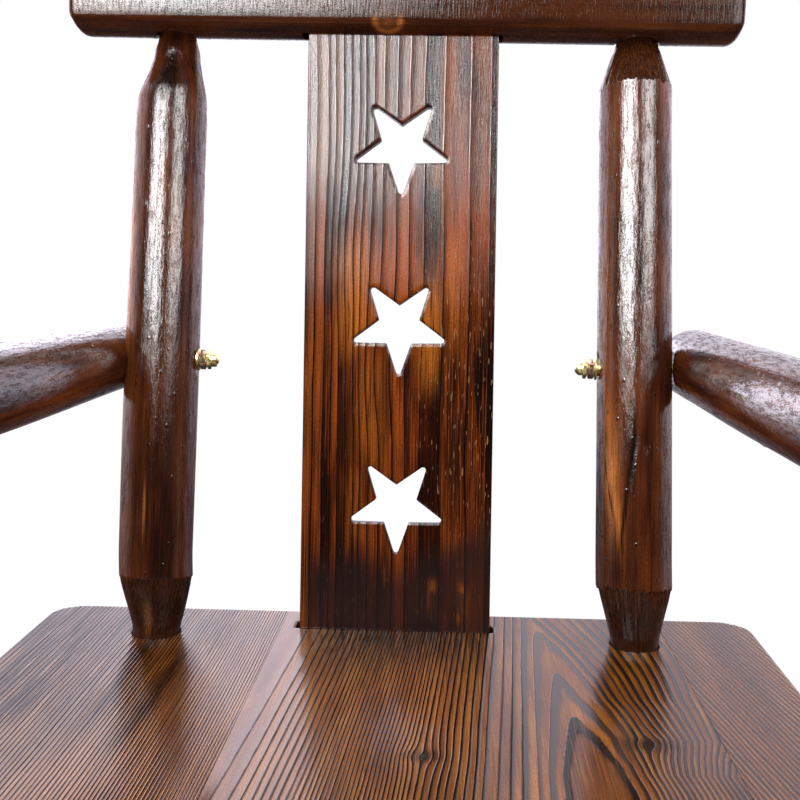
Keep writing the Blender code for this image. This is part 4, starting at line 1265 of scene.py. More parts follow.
@dataclass(kw_only=True)
class SeatBoard(Slab):
    """One board of the seat."""

    seat: "Seat"

    def outline(self, points: Array) -> Array:
        """Distance in from the whole seat's outline; the joints between boards stay square.

        Args:
            points: Places on the face.

        Returns:
            Distances, positive inside.
        """
        seat = self.seat
        middle = (0.0, (seat.front + seat.rear) / 2)
        half = (seat.width / 2, (seat.rear - seat.front) / 2)
        return -slot_hole(middle, half, seat.corner)(points)

    def holes(self) -> list[Field]:
        """Post holes, arm-post holes, the splat's slot and the seat's round corners.

        Returns:
            Signed distances, one for each shape.
        """
        seat = self.seat
        shapes = [lambda p: self.outline(p) + 1e-6]
        low, high = self.across[0], self.across[-1]
        for side in Side:
            for x, y, radius, lean in (
                (POST_X, POST_Y, seat.post_hole, POST_LEAN),
                (ARM_X, ARM_POST_Y, seat.arm_hole, 0.0),
            ):
                if low < side.value * x < high:
                    shapes.append(round_hole((side.value * x, y), radius, lean))
        if low < 0.0 < high:
            shapes.append(slot_hole(seat.slot_middle, seat.slot_half, seat.slot_corner))
        return shapes

    def rings(self, points: Array) -> Array:
        """Rings of the board: straight and crowded on the left, arched over knots in the middle.

        Args:
            points: Places on the face.

        Returns:
            Ring numbers.
        """
        flat = points * FACE_AXES
        waver = 0.30 * noise(flat, (55, 5, 1), 31) + 0.12 * noise(flat, (210, 16, 1), 32)
        if self.node == "seat_board_left":
            gap = (self.across[-1] - points[..., 0]) * 1000
            return np.log1p(gap * 0.010 / 1.9) / 0.010 + 1.3 * waver
        if self.node == "seat_board_right":
            return (points[..., 0] + 0.16 * points[..., 1]) / 0.0034 + waver
        return self.seat.arched(points) + 0.4 * waver

    def patches(self, points: Array) -> dict[str, Array]:
        """Scorched streaks along the grain, knots, a warm middle and a painted dark reflection of the left
        post.

        Args:
            points: Places on the face.

        Returns:
            Layers by name.
        """
        flat = points * FACE_AXES
        char = 0.15 * ease(noise(flat, (40, 4, 1), 41), 0.1, 0.7)
        warm = 0.25 * ease(noise(flat, (50, 5, 1), 42), 0.0, 0.7)
        x, y = points[..., 0], points[..., 1]
        glow = np.exp(-(((x - 0.03) / 0.035) ** 2)) * ease(y, -0.10, 0.02)
        warm = np.maximum(warm, 0.4 * glow)
        foot = ease(y, 0.03, 0.16) * ease(x, -0.075, -0.03) * ease(-x, -0.085, -0.06)
        ridge = x - self.seat.leg_lean * y - 0.008
        streak = np.exp(-((ridge / 0.012) ** 2)) * ease(y, -0.20, 0.0)
        char = np.maximum(char, np.maximum(0.80 * foot, 0.30 * streak))
        burn = 0.15 + 0.85 * ease(x, -0.055, -0.012) + 0.6 * ease(x, 0.075, 0.10)
        ring = self.rings(points)
        burn = burn + 0.9 * ease(-ring, -0.15, 0.1)
        if self.node == "seat_board_centre":
            fill = 0.38 + 0.55 * ease(ring, -0.74, -0.45) * ease(y, -0.20, -0.06)
            char = np.maximum(char, (ring < 0.0) * fill)
        if self.node == "seat_board_left":
            burn = np.full(len(points), 0.5)
            streaky = ease(noise(flat, (130, 7, 1), 43), -0.5, 0.4)
            # Painted reflection: the left board darkened, in streaks of char, where the left post's dark
            # reflection lies
            painted_post_reflection = ease(-x, 0.10, 0.145) * ease(y, -0.10, 0.02)
            char = np.maximum(char, (0.5 + 0.4 * streaky) * painted_post_reflection)
        for knot_x, knot_y, size, _ in self.seat.knots:
            away = np.hypot((x - knot_x) * 0.55, y - knot_y) / size
            char = np.maximum(char, 0.65 * np.exp(-((away - 0.6) ** 2)))
        return super().patches(points) | {"char": np.minimum(char, 1.0), "warm": warm, "burn": burn}


@dataclass
class Seat:
    """The seat: three boards edge to edge. A knot is its place, its size and its stretch along the grain."""

    thickness: float = 0.038
    front: float = -0.225
    rear: float = 0.205
    width: float = 0.540
    corner: float = 0.024
    edge: float = 0.0025
    joints: Pair = (-0.0853, 0.2005)
    gap: float = 0.00015
    post_hole: float = 0.0181
    arm_hole: float = 0.0164
    slot_middle: Pair = (0.0, 0.1715)
    slot_half: Pair = (0.0747, 0.0073)
    slot_corner: float = 0.0015
    leg_lean: float = 0.055
    knots: tuple[tuple[float, float, float, float], ...] = (
        (0.0277, -0.0468, 0.0052, 1.3),
        (0.1569, -0.0231, 0.0064, 1.3),
    )

    def arched(self, points: Array) -> Array:
        """Rings of the middle board.

        Rings run straight on the left of a line and lean away on its right; the greater of the two counts
        makes pointed arches along the line. Round each knot they part as water does round a pile.

        Args:
            points: Places on the seat.

        Returns:
            Ring numbers.
        """
        x, y = points[..., 0], points[..., 1]
        for knot_x, knot_y, size, stretch in self.knots:
            off = x - knot_x
            far = off**2 + ((y - knot_y) / stretch) ** 2 + size**2
            x = knot_x + off * (1.0 - size**2 / far * np.exp(-far / (9.0 * size) ** 2))
        x, y = x * 1000, y * 1000
        places = (
            -86, -73, -63.5, -57.5, -52, -43, -34.5, -25, 1,
            26.5, 33.4, 45.4, 55.3, 65, 73, 85.5, 94.3, 102.5, 114, 140,
        )
        counts = (4, 5, 6, 7, 8, 10, 12, 15, 25.4, 15, 13, 10, 8, 6, 5, 3, 2, 1, 0, -3)
        # Past this leg the rings lie wider apart towards the rear
        last_even = 94.3
        fan = 8.2 / np.maximum(8.5 + 0.045 * y, 5.8)
        leg = x - self.leg_lean * y
        leg = np.where(leg > last_even, last_even + (leg - last_even) * fan, leg)
        straight = np.interp(leg, places, counts)
        # The flank is the right side of the arch that counts two
        flank_y = (-230, -80, -60, -40, -16, 1, 25, 44, 79, 102, 138, 171, 205)
        flank_x = (160, 152.2, 150, 149.2, 150.5, 147.3, 142.9, 138.4, 133, 128.5, 120, 110, 99)
        off = x - np.interp(y, flank_y, flank_x)
        inner = 4.6 + 0.075 * np.clip(y + 50.0, 0.0, 50.0) + 0.045 * np.maximum(y, 0.0)
        inner = inner * (1.0 + np.abs(off) / 60.0)
        outer = 3.2 + 0.02 * np.maximum(y + 60.0, 0.0)
        leaning = 2.0 + np.where(off < 0.0, off / inner, off / outer)
        arches = smooth_greater(straight, leaning, 0.2)
        return smooth_greater(arches, np.full_like(arches, -0.75), 0.12)

    def build(self) -> None:
        """Makes the three boards."""
        left, right = self.joints
        spans = {
            "seat_board_left": (-self.width / 2, left - self.gap, 0.0012),
            "seat_board_centre": (left + self.gap, right - self.gap, 0.0014),
            "seat_board_right": (right + self.gap, self.width / 2, 0.0014),
        }
        for node, (low, high, step) in spans.items():
            SeatBoard(
                node=node, origin=(0.0, 0.0, SEAT_TOP), axes=np.eye(3), thickness=self.thickness,
                across=grid_lines(low, high, step, self.edge),
                along=grid_lines(self.front, self.rear, 0.0022, self.edge),
                slot="charred_seat", finish=SEAT_FINISH, edge=self.edge, seat=self,
            ).build()


@dataclass
class Splat(Slab):
    """The back splat: a thin plank with three star cut-outs, let into the seat and the rail."""

    stars: tuple[float, ...] = (0.0931, 0.2281, 0.3631)
    star: tuple[float, float, float] = (0.0402, 0.0159, 0.0021)

    def holes(self) -> list[Field]:
        """The three stars."""
        return [star_hole((0.0, height), *self.star) for height in self.stars]

    def rings(self, points: Array) -> Array:
        """Rings run up the plank, bow left about the middle star and lean back to the right below it.

        Args:
            points: Places on the face.

        Returns:
            Ring numbers.
        """
        places = (-72, -64.5, -56, -50.5, -45, -39.5, -33, -28, -21.5, -13.5, -3.5, 6, 17, 31.5, 51, 66, 74)
        x = points[..., 0] * 1000
        height = points[..., 1] * 1000
        bow = 3.6 * np.exp(-(((height - 275) / 62) ** 2)) * np.exp(-(((x + 42) / 22) ** 2))
        bow = bow + 5.0 * np.exp(-(((height - 205) / 48) ** 2)) * np.exp(-(((x + 16) / 17) ** 2))
        flat = points * FACE_AXES
        sway = 1.0 * noise(flat, (14, 9, 1), 51) + 0.7 * noise(flat, (70, 18, 1), 52)
        count = len(places)
        return count - np.interp(x + bow + sway, places, np.arange(count))

    def patches(self, points: Array) -> dict[str, Array]:
        """Scorched bands, a hazy foot, warm flames about the middle star and painted glints in open pores on
        the right.

        Args:
            points: Places on the face.

        Returns:
            Layers by name.
        """
        x = points[..., 0] * 1000
        height = points[..., 1] * 1000
        flat = points * FACE_AXES
        ragged = noise(flat, (60, 14, 1), 53)

        def spots(*places: tuple[float, float, float, float, float]) -> Array:
            """The strongest of some soft ovals at each point.

            Args:
                places: Middle across and up, half width, half height and strength of each.

            Returns:
                Strengths.
            """
            fields = [
                amount * np.exp(-(((x - across) / wide) ** 2) - (((height - up) / tall) ** 4))
                for across, up, wide, tall, amount in places
            ]
            return np.max(fields, axis=0)

        char = spots(
            (62, 165, 13, 130, 1.0), (-55, 130, 6, 100, 0.95), (8, 165, 1.6, 50, 0.9),
            (31, 155, 2.6, 60, 0.8), (44, 140, 17, 90, 0.92), (-15, 60, 60, 70, 0.45),
            (-40, 140, 8, 60, 0.55), (-54, 300, 3, 70, 0.7), (40, 330, 3, 40, 0.5),
            (-62, 45, 12, 45, 0.8), (15, 60, 12, 40, 0.6),
        )
        warm = spots(
            (-34, 250, 11, 45, 1.0), (24, 222, 9, 40, 0.9), (32, 380, 1.8, 70, 0.8),
            (-22, 165, 13, 50, 0.45), (-30, 95, 9, 30, 0.4), (-69, 35, 4, 50, 0.5),
            (40, 250, 6, 50, 0.5), (-66, 190, 5, 110, 0.25), (27, 345, 5, 14, 0.5),
        )
        edge = 58 + 22 * ease(x, 0, 60) + 10 * ragged
        haze = 0.94 * (1.0 - ease(height - edge, -26, 10)) * (0.9 + 0.1 * ragged)
        top = ease(height, 285, 345)
        haze = np.maximum(haze, 0.6 * top * (1.0 - 0.45 * ease(x, -10, 30)))
        haze = haze * (1.0 - 0.85 * np.exp(-(((x + 69) / 5) ** 2)))
        scuff = spots((28, 26, 3.5, 14, 0.8), (50, 20, 4.0, 15, 0.9), (-8, 40, 1.0, 9, 0.5))
        haze = haze * (1.0 - scuff * ease(noise(flat, (300, 60, 1), 54), -0.3, 0.3))
        # Painted highlights: pore glints, strong on the right between 60 and 330 mm up, faint elsewhere
        pore_glint = ease(x, 8, 28) * ease(-height, -330, -280) * ease(height, 60, 110) + 0.12
        return super().patches(points) | {
            "char": char, "warm": np.maximum(warm, scuff), "haze": haze, "pore_glint": pore_glint,
            "burn": 1.0 - 0.8 * top,
        }


# Fittings


@dataclass
class ArmBolt:
    """A bolt through an armrest and a post, with washer, hexagon nut and cap nut on the inner end.

    The fittings stand a little off their CAD places: the left and the right ones go towards -X by the two
    shifts, and those on the right go down by the drop, those on the left up.
    """

    side: Side
    around: int = 96
    shifts: Pair = (0.0016, 0.0030)
    drop: float = 0.0014
    nut_half: float = 0.0065

    def turned(self, node: str, rows: Sequence[tuple[float, float]], flats: float, finish: Finish) -> None:
        """Makes one turned or hexagonal fitting from its CAD node's box.

        Its radius at each angle is the row's own or the reach to the nearest hexagon flat, whichever is less.

        Args:
            node: The CAD node, whose axis lies along X.
            rows: Shares of the node's length and radii; lengths run towards the inner end.
            flats: Half the width across flats, or 0 for a round fitting.
            finish: Its finish.
        """
        low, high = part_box(node)
        inner = -self.side.value
        start = low[0] if inner > 0 else high[0]
        reach = high[0] - low[0]
        share, radius = np.array(rows).T
        angle = np.linspace(0.0, math.tau, self.around, endpoint=False)
        ring = np.repeat(radius[:, None], self.around, 1)
        if flats:
            facet = (angle + math.pi / 6) % (math.pi / 3) - math.pi / 6
            ring = np.minimum(ring, flats / np.cos(facet))
        along = start + inner * share * reach - self.shifts[self.side is Side.RIGHT]
        middle_y = (low[1] + high[1]) / 2
        middle_z = (low[2] + high[2]) / 2 - self.side.value * self.drop
        across = middle_y + inner * ring * np.cos(angle)
        up = middle_z + ring * np.sin(angle)
        points = np.stack([np.repeat(along[:, None], self.around, 1), across, up], -1).reshape(-1, 3)
        poles = [[along[0], middle_y, middle_z], [along[-1], middle_y, middle_z]]
        quads, triangles = tube_faces(len(rows), self.around)
        skin = Skin(np.concatenate([points, poles]), quads, triangles)
        skin.make(node + "_plated", Body.SEAT, node, "yellow_zinc", finish)

    def build(self) -> None:
        """Makes the washer, the nut and the cap nut."""
        side = self.side.name.lower()
        washer = (
            (-1.4, 0.0040), (-1.4, 0.0052), (0.0, 0.0052), (0.0, 0.0078), (0.18, 0.0082), (0.82, 0.0082),
            (1.0, 0.0078), (1.0, 0.0040),
        )
        nut = ((0.0, 0.0040), (0.0, 0.0060), (0.14, 0.0078), (0.80, 0.0078), (0.96, 0.0058), (0.96, 0.0040))
        cap = [(0.0, 0.0035), (0.0, 0.0056), (0.06, 0.0074), (0.24, 0.0074), (0.30, 0.0058), (0.302, 0.0046)]
        dome = np.linspace(0.0, math.pi / 2, 9).tolist()
        cap += [(0.37 + 0.46 * math.sin(a), 0.0050 * math.cos(a) + 0.00002) for a in dome]
        self.turned(f"arm_washer_{side}", washer, 0.0, ZINC_YELLOW)
        self.turned(f"arm_nut_{side}", nut, self.nut_half, ZINC_BRONZE)
        self.turned(f"arm_cap_nut_{side}", cap, self.nut_half, ZINC_YELLOW)


# The whole stool


def post_foot(side: Side) -> Place:
    """Where a back post's axis meets the top of the seat."""
    return (side.value * POST_X, POST_Y, SEAT_TOP)


def from_post(points: Array, side: Side) -> Array:
    """Offsets of points from a back post's axis, square to it."""
    off = points - np.array(post_foot(side))
    return off - (off @ POST_AXIS)[..., None] * POST_AXIS


@dataclass(frozen=True)
class PostLook:
    """What one back post has of its own."""

    seed: int
    taper: float
    drawn: bool
    bow: float
    torn: float
    soft: float
    lips: Pair
    marks: tuple[Mark, ...]
    cracks: tuple[Crack, ...]


POST_LOOKS = {
    Side.LEFT: PostLook(
        seed=7, taper=0.048, drawn=True, bow=-0.0029, torn=0.2, soft=0.0008, lips=(0.0006, 0.0),
        marks=(
            Mark(0.012, -20, 0.026, 0.0500, char=0.6),
            Mark(0.012, -4, 0.012, 0.0040, warm=0.55, rise=-0.0005),
            Mark(0.420, 4, 0.024, 0.0095, char=1.3),
            Mark(0.428, 62, 0.009, 0.0035, char=0.9, rise=-0.0022),
            # Painted shade: the lower part of the post darker, where less light falls
            Mark(0.100, 20, 0.120, 0.0700, char=0.62),
            Mark(0.020, 60, 0.025, 0.0900, char=0.75),
            Mark(0.090, -5, 0.020, 0.0012, warm=0.6),
            # Painted light: a brighter orange stripe down the left side, where the left lamp lights the post
            Mark(0.260, -66, 0.110, 0.0110, warm=0.60),
        ),
        cracks=(
            Crack((0.155, 0.196, 0.241, 0.303, 0.385), (-42, -22, -7, -4, 0)),
            Crack((0.165, 0.230, 0.300), (-52, -64, -70)),
        ),
    ),
    Side.RIGHT: PostLook(
        seed=11, taper=0.030, drawn=False, bow=-0.0008, torn=1.0, soft=0.0002, lips=(0.0010, 0.0005),
        marks=(
            Mark(0.124, -45, 0.036, 0.0062, warm=1.0),
            Mark(0.098, -36, 0.024, 0.0036, lean=-0.14, warm=1.0),
            Mark(0.160, -50, 0.020, 0.0040, warm=0.7),
            Mark(0.280, -60, 0.110, 0.0100, warm=0.20),
            Mark(0.150, 8, 0.008, 0.0034, char=0.6, rise=-0.0004),
            Mark(0.085, -78, 0.050, 0.0120, char=0.75),
            Mark(0.052, -28, 0.022, 0.0120, char=0.75),
            Mark(0.115, 40, 0.080, 0.0140, char=0.35),
            Mark(0.015, 0, 0.022, 0.0900, char=0.7),
        ),
        cracks=(
            Crack((0.045, 0.0785, 0.112, 0.148, 0.170), (-24, -27, -18, -6, -4), 0.0020, 0.0005),
            Crack((0.078, 0.098, 0.118, 0.150), (-29, -44, -53, -62), 0.0011, 0.0004),
            Crack((0.270, 0.340, 0.430), (-1, 1, 3)),
            Crack((0.060, 0.110), (-66, -58)),
        ),
    ),
}


@dataclass
class Back:
    """Posts, rail, splat and their fastenings."""

    neck: float = 0.0175
    radius: float = 0.028
    bolt_y: float = 0.1902
    face_depth: float = 0.0253
    face_radius: float = 0.0095
    face_shift: float = 0.0016
    splat_half: float = 0.0715
    splat_edge: float = 0.0010
    rail_y: float = 0.2298
    rail_z: float = 1.2559
    rail_tilt: float = math.radians(0.8)
    hole_room: float = 0.0004
    hole_wear: float = 1.42
    hole_depth: float = 0.030
    slot_middle: Pair = (-0.0012, -0.0065)
    slot_half: Pair = (0.0755, 0.0082)
    slot_corner: float = 0.002
    slot_depth: float = 0.015

    def post(self, side: Side) -> Log:
        """A back post with the marks it shows.

        Args:
            side: Which post.

        Returns:
            The log.
        """
        look = POST_LOOKS[side]
        lean = self.neck * math.tan(POST_LEAN)
        return Log(
            node=f"back_post_{side.name.lower()}", body=Body.SEAT, foot=post_foot(side),
            heading=tuple(POST_AXIS), span=(-0.0385, 0.4900), radius=self.radius, neck=self.neck,
            necks=(lean + 0.0003, 0.4437), tapers=(0.036, look.taper), drawn=(False, look.drawn),
            level_ends=(True, False), tip=0.0035, seed=look.seed, step=0.0021, around=270, crowd=0.45,
            pimples=10, end_round=0.002, bow=look.bow, torn=look.torn, soft=look.soft, lips=look.lips,
            marks=look.marks, cracks=look.cracks,
        )

    def spot_face(self, side: Side) -> Callable[[Skin], None]:
        """The flat that the washer sits on: points near the bolt go no further in than the flat.

        Args:
            side: Which post.

        Returns:
            A change of a skin's points.
        """

        def shape(skin: Skin) -> None:
            """Presses the points onto the flat.

            Args:
                skin: The post's skin.
            """
            points = skin.points
            near = np.hypot(points[:, 1] - self.bolt_y, points[:, 2] - ARM_Z) < self.face_radius
            limit = POST_X - self.face_depth - side.value * self.face_shift
            depth = points[:, 0] * side.value
            inner = near & (depth < POST_X)
            points[inner, 0] = side.value * np.maximum(depth[inner], limit)

        return shape

    def build(self) -> None:
        """Makes the posts, the rail, the splat and the bolts' inner ends."""
        for side in Side:
            self.post(side).build(self.spot_face(side))
            ArmBolt(side).build()
        Splat(
            node="back_splat", origin=SPLAT_FOOT, axes=SPLAT_AXES, thickness=0.013,
            across=grid_lines(-self.splat_half, self.splat_half, 0.0011, self.splat_edge),
            along=grid_lines(-0.021, 0.4610, 0.0016, self.splat_edge),
            slot="charred_splat", finish=SPLAT_FINISH, edge=self.splat_edge, rear_round=0.0045,
        ).build()
        self.rail()

    def rail(self) -> None:
        """Makes the top rail with its knot and with painted shade and shadows on its underside, and cuts its
        post holes and its slot.
        """
        # Painted shadows: the rail's underside blackened about each post hole
        painted_hole_shadows = tuple(Mark(side.value * POST_X, 0, 0.034, 0.020, char=1.1) for side in Side)
        log_rail = TopRail(
            node="top_rail", body=Body.SEAT, foot=(0.0, self.rail_y, self.rail_z),
            heading=(math.cos(self.rail_tilt), 0.0, -math.sin(self.rail_tilt)), span=(-0.25, 0.25),
            radius=0.055, seed=23, end_round=0.008, step=0.0020, around=240, pimples=10, slot="charred_rail",
            marks=(
                # Painted shade: the rail's underside darkened along its length
                Mark(0.0, 40, 0.5, 0.050, char=0.85),
                *painted_hole_shadows,
                # Painted shadow: the underside blackened along the splat's slot
                Mark(0.0, 4, 0.095, 0.010, char=1.1),
                Mark(-0.0105, -32, 0.0095, 0.0135, warm=0.65, hollow=True),
                Mark(-0.0105, -24, 0.0070, 0.0110, warm=0.25),
            ),
        )
        skin = log_rail.skin()
        below = self.rail_z - 0.02
        slot = slot_hole(self.slot_middle, self.slot_half, self.slot_corner)
        for side in Side:

            def post_hole(points: Array, side: Side = side) -> Array:
                """Signed distance to the post's bore, worn at the front, in the rail's lower half.

                Args:
                    points: Places on the rail.
                    side: Which post.

                Returns:
                    Distances, negative inside.
                """
                off = from_post(points, side)
                wear = np.where(off[..., 1] < 0.0, self.hole_wear, 1.0)
                reach = np.hypot(off[..., 0], off[..., 1] / wear)
                return np.maximum(reach - self.neck - self.hole_room, points[..., 2] - below)

            skin.pocket(post_hole, POST_AXIS, self.hole_depth)

        def splat_slot(points: Array) -> Array:
            """Signed distance to the splat's slot, in the rail's lower half.

            Args:
                points: Places on the rail.

            Returns:
                Distances, negative inside.
            """
            off = points - np.array(SPLAT_FOOT)
            flat = np.stack([off[..., 0], off @ np.array(SPLAT_OUT)], -1)
            return np.maximum(slot(flat), points[..., 2] - below)

        skin.pocket(splat_slot, np.array(SPLAT_UP), self.slot_depth)
        skin.make("top_rail_timber", Body.SEAT, "top_rail", "charred_rail", RAIL_FINISH)


@dataclass
class Arms:
    """Armrests and their front posts."""

    room: float = 0.0003

    def saddle(self, side: Side, back: Back) -> Callable[[Skin], None]:
        """The hollow where the armrest lies against the back post.

        Args:
            side: Which arm.
            back: The back whose post it meets.

        Returns:
            A change of a skin's points.
        """

        def shape(skin: Skin) -> None:
            """Pushes the points inside the post's cylinder out to its surface.

            Args:
                skin: The armrest's skin.
            """
            off = from_post(skin.points, side)
            away = np.linalg.norm(off, axis=1)
            inside = away < back.radius + self.room
            push = (back.radius + self.room - away[inside]) / away[inside]
            skin.points[inside] += off[inside] * push[:, None]

        return shape

    def build(self, back: Back) -> None:
        """Makes both arms.

        Args:
            back: The back they are bolted to.
        """
        for side in Side:
            name = side.name.lower()
            x = side.value * ARM_X
            Log(
                node=f"armrest_{name}", body=Body.SEAT, foot=(x, 0.0, ARM_Z), heading=(0.0, 1.0, 0.0),
                span=(-0.235, 0.240), radius=0.027, seed=31 + side.value, end_round=0.010, step=0.0025,
                around=140, pimples=26,
            ).build(self.saddle(side, back))
            Log(
                node=f"arm_post_{name}", body=Body.SEAT, foot=(x, ARM_POST_Y, SEAT_TOP),
                heading=(0.0, 0.0, 1.0), span=(-0.0378, 0.1985), radius=0.025, neck=0.016,
                tapers=(0.034, 0.034), necks=(0.0004, 0.1705), seed=41 + side.value, step=0.0025,
                pimples=16, end_round=0.002,
            ).build()


@dataclass
class Base:
    """Legs, footrest and rungs."""

    foot_offset: float = 0.2535
    slope: float = 0.1945
    leg_top: float = 0.679
    leg_shoulder: float = 0.628
    leg_radius: float = 0.032
    leg_neck: float = 0.020
    rung_radius: float = 0.025
    rung_neck: float = 0.014
    cross_height: float = 0.215
    side_height: float = 0.285

    def legs(self) -> None:
        """Makes the four splayed legs."""
        seed = 50
        for front, y in (("front", -1), ("rear", 1)):
            for side in Side:
                seed += 2
                heading = (-side.value * self.slope, -y * self.slope, 1.0)
                stretch = math.hypot(*heading)
                Log(
                    node=f"leg_{front}_{side.name.lower()}", body=Body.BASE,
                    foot=(side.value * self.foot_offset, y * self.foot_offset, 0.0), heading=heading,
                    span=(0.0, self.leg_top * stretch), radius=self.leg_radius, neck=self.leg_neck,
                    tapers=(0.046, 0.046), necks=(-1.0, self.leg_shoulder * stretch),
                    level_ends=(True, True), seed=seed, step=0.004, pimples=34, end_round=0.002,
                ).build()

    def rungs(self) -> None:
        """Makes the footrest and the three rungs."""
        level, deep = (1.0, 0.0, 0.0), (0.0, 1.0, 0.0)
        rows = (
            ("footrest_front", self.cross_height, level, -1), ("rung_rear", self.cross_height, level, 1),
            ("rung_left", self.side_height, deep, -1), ("rung_right", self.side_height, deep, 1),
        )
        for index, (node, height, heading, side) in enumerate(rows):
            offset = self.foot_offset - self.slope * height
            shoulder = offset - 0.0356
            end = offset - 0.006
            Log(
                node=node, body=Body.BASE, heading=heading,
                foot=(side * offset * heading[1], side * offset * heading[0], height),
                span=(-end, end), radius=self.rung_radius, neck=self.rung_neck, tapers=(0.038, 0.038),
                necks=(-shoulder, shoulder), seed=70 + 2 * index, around=110, pimples=20, end_round=0.002,
            ).build()

    def build(self) -> None:
        """Makes the legs and the rungs."""
        self.legs()
        self.rungs()


def dress_nodes() -> None:
    """Gives every CAD node its plain finish; those left to show are planks, swivel, bolts and screws."""
    for name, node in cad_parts.items():
        if name in ("base_plank", "seat_cleat_front", "seat_cleat_rear"):
            finish: Finish = PLAIN_TIMBER
        else:
            finish = ZINC_YELLOW if "bolt" in name else ZINC_STEEL
        node.data.materials.clear()
        node.data.materials.append(finish.material())


@dataclass(frozen=True)
class SoftBox:
    """A soft box: its middle, its width and height, and the radiance of its face.

    One kind lights matt surfaces alone; the other shows in the varnish alone.
    """

    name: str
    place: Place
    size: Pair
    strength: float
    matt: bool = False


# Two tall boxes seen in the varnish, bright in the middle, and three lamps for matt light
SOFT_BOXES = (
    SoftBox("left_box", (-1.06, -1.76, 2.72), (2.2, 1.90), 9.0),
    SoftBox("left_box_core", (-1.05, -1.70, 2.72), (1.4, 1.90), 14.0),
    SoftBox("left_box_hem", (-1.06, -1.76, 1.64), (1.9, 0.26), 5.0),
    SoftBox("right_box", (1.41, -1.49, 2.72), (1.9, 1.90), 4.5),
    SoftBox("right_box_core", (1.38, -1.45, 2.72), (1.1, 1.90), 7.0),
    SoftBox("right_box_hem", (1.41, -1.49, 1.62), (1.5, 0.30), 3.5),
    SoftBox("broad_lamp", (0.0, -2.2, 2.9), (2.4, 1.6), 3.8, matt=True),
    SoftBox("left_lamp", (-2.1, 0.35, 1.5), (1.0, 1.6), 4.5, matt=True),
    SoftBox("right_lamp", (2.1, 0.35, 1.5), (1.0, 1.6), 3.0, matt=True),
)


def put(name: str, data: bpy.types.ID, place: Place, axes: Sequence[Array]) -> bpy.types.Object:
    """Puts a camera or a light into the scene.

    Args:
        name: The object's name.
        data: Its camera or light.
        place: Where it stands.
        axes: Its three axes.

    Returns:
        The object.
    """
    item = bpy.data.objects.new(name, data)
    item.matrix_world = Matrix.Translation(place) @ Matrix(np.column_stack(axes).tolist()).to_4x4()
    bpy.context.scene.collection.objects.link(item)
    return item


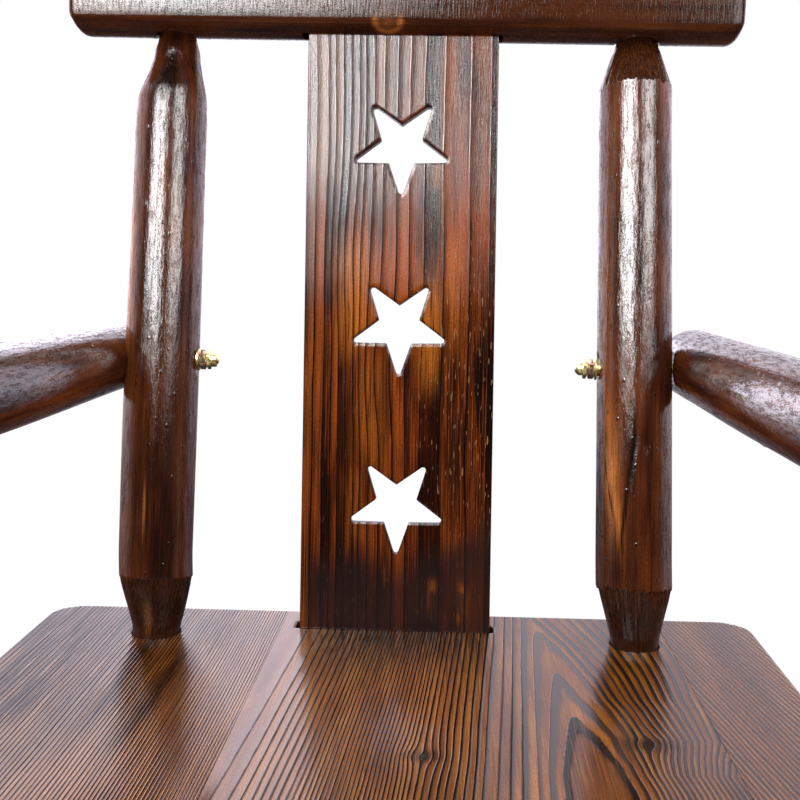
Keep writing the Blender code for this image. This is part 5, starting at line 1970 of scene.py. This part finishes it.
@dataclass
class Studio:
    """Camera, floor, soft boxes and the white room."""

    eye: Place = (0.0427, -0.6329, 1.0335)
    yaw: float = math.radians(-2.868)
    pitch: float = math.radians(-7.093)
    roll: float = math.radians(0.584)
    lens: float = 49.5
    sensor: float = 36.0
    aim: Place = (0.0, 0.18, 1.05)
    sheen: Colour = (0.97, 0.92, 1.06)
    sweep: tuple[Pair, ...] = (
        (0.0, 0.6), (0.30, 0.95), (0.37, 1.3), (0.42, 1.2),
        (0.50, 0.52), (0.60, 0.42), (0.80, 0.62), (1.0, 0.5),
    )
    sweep_below: float = 0.35
    horizon: Pair = (-0.12, 0.03)
    front_to_back: tuple[float, ...] = (-0.40, 0.20, 0.015, 3.0)
    below_to_level: tuple[float, ...] = (-0.34, 0.0, 0.05, 1.0)
    matt_grey: Colour = (0.8, 0.8, 0.8)
    matt_light: float = 0.42
    floor_reach: float = 30.0
    floor_grey: Colour = (0.86, 0.86, 0.86)
    floor_rough: float = 0.9
    floor_fade: Pair = (1.1, 2.4)

    def camera(self) -> None:
        """Sets the camera on the photograph's view."""
        level_reach = math.cos(self.pitch)
        forward = np.array(
            [math.sin(self.yaw) * level_reach, math.cos(self.yaw) * level_reach, math.sin(self.pitch)]
        )
        level = np.cross(forward, (0.0, 0.0, 1.0))
        level /= np.linalg.norm(level)
        above = np.cross(level, forward)
        right = math.cos(self.roll) * level + math.sin(self.roll) * above
        up = math.cos(self.roll) * above - math.sin(self.roll) * level
        data = bpy.data.cameras.new("camera")
        data.lens = self.lens
        data.sensor_width = self.sensor
        bpy.context.scene.camera = put("camera", data, self.eye, (right, up, -forward))

    def lights(self) -> None:
        """Hangs the soft boxes, which face the back of the stool; those for the varnish hang upright."""
        for box in SOFT_BOXES:
            data = bpy.data.lights.new(box.name, "AREA")
            data.shape = "RECTANGLE"
            data.size, data.size_y = box.size
            data.energy = box.strength * math.pi * box.size[0] * box.size[1]
            towards = (np.array(self.aim) - np.array(box.place)) * (1.0 if box.matt else FACE_AXES)
            backward = -towards / np.linalg.norm(towards)
            level = np.cross((0.0, 0.0, 1.0), backward)
            level /= np.linalg.norm(level)
            item = put(box.name, data, box.place, (level, np.cross(backward, level), backward))
            item.visible_diffuse = box.matt
            item.visible_glossy = not box.matt
            item.visible_camera = False

    def room(self) -> None:
        """White for the camera; in reflections white behind and beside, dark in front of the stool.

        The light seen in the varnish goes by the direction: it rises from front to back and from below to
        level, and follows a sweep from left to right that fades to one value below the horizon.
        """
        world = bpy.data.worlds.new("room")
        bpy.context.scene.world = world
        bench = NodeBench(world)
        bench.tree.nodes.clear()
        heading = bench.run("TexCoord", {}, "Generated")
        x, y, z = (bench.run("SeparateXYZ", {0: heading}, axis) for axis in "XYZ")
        sweep = bench.ramp(x * 0.5 + 0.5, [(place, (level,) * 3) for place, level in self.sweep])
        upper = z.rise(*self.horizon, kind="LINEAR")
        swept = sweep * upper + (1.0 - upper) * self.sweep_below
        strength = y.rise(*self.front_to_back) * z.rise(*self.below_to_level) * swept
        glossy = bench.run("Background", {"Color": self.sheen, "Strength": strength})
        matt = bench.run("Background", {"Color": self.matt_grey, "Strength": self.matt_light})
        white = bench.run("Background", {"Color": WHITE, "Strength": 1.0})
        path = bench.tree.nodes.new("ShaderNodeLightPath").outputs
        rays = ("Is Camera Ray", "Is Glossy Ray", "Is Transmission Ray")
        seen, mirrored, passed = (Wire(bench, path[ray]) for ray in rays)
        lit = bench.blend(mirrored.at_least(passed), matt, glossy)
        output = bench.tree.nodes.new("ShaderNodeOutputWorld")
        bench.feed(output.inputs["Surface"], bench.blend(seen, lit, white))

    def floor(self) -> None:
        """A pale floor that takes the stool's shadow and runs out to plain white far behind it."""
        mesh = bpy.data.meshes.new("floor")
        reach = self.floor_reach
        corners = [(-reach, -reach, 0.0), (reach, -reach, 0.0), (reach, reach, 0.0), (-reach, reach, 0.0)]
        mesh.from_pydata(corners, [], [(0, 1, 2, 3)])
        item = bpy.data.objects.new("floor", mesh)
        bpy.context.scene.collection.objects.link(item)
        bench = NodeBench(bpy.data.materials.new("floor"))
        bench.principled({"Base Color": self.floor_grey, "Roughness": self.floor_rough})
        nodes = bench.tree.nodes
        place = bench.run("TexCoord", {}, "Object")
        far = bench.run("VectorMath", {0: place}, "Value", operation="LENGTH").rise(*self.floor_fade)
        glow = bench.run("Emission", {"Color": WHITE})
        shade = bench.blend(far, Wire(bench, nodes["Principled BSDF"].outputs[0]), glow)
        bench.feed(nodes["Material Output"].inputs["Surface"], shade)
        mesh.materials.append(bench.item)
        item.visible_glossy = False

    def build(self) -> None:
        """Sets up the whole studio."""
        bpy.context.scene.view_settings.view_transform = "Standard"
        self.camera()
        self.lights()
        self.room()
        self.floor()


def main() -> None:
    """Builds the stool's pieces in order, dresses the rest and sets the studio."""
    logging.basicConfig(level=logging.INFO, format="%(name)s %(message)s")
    dress_nodes()
    back = Back()
    Seat().build()
    back.build()
    Arms().build(back)
    Base().build()
    Studio().build()


if __name__ == "__main__":
    main()
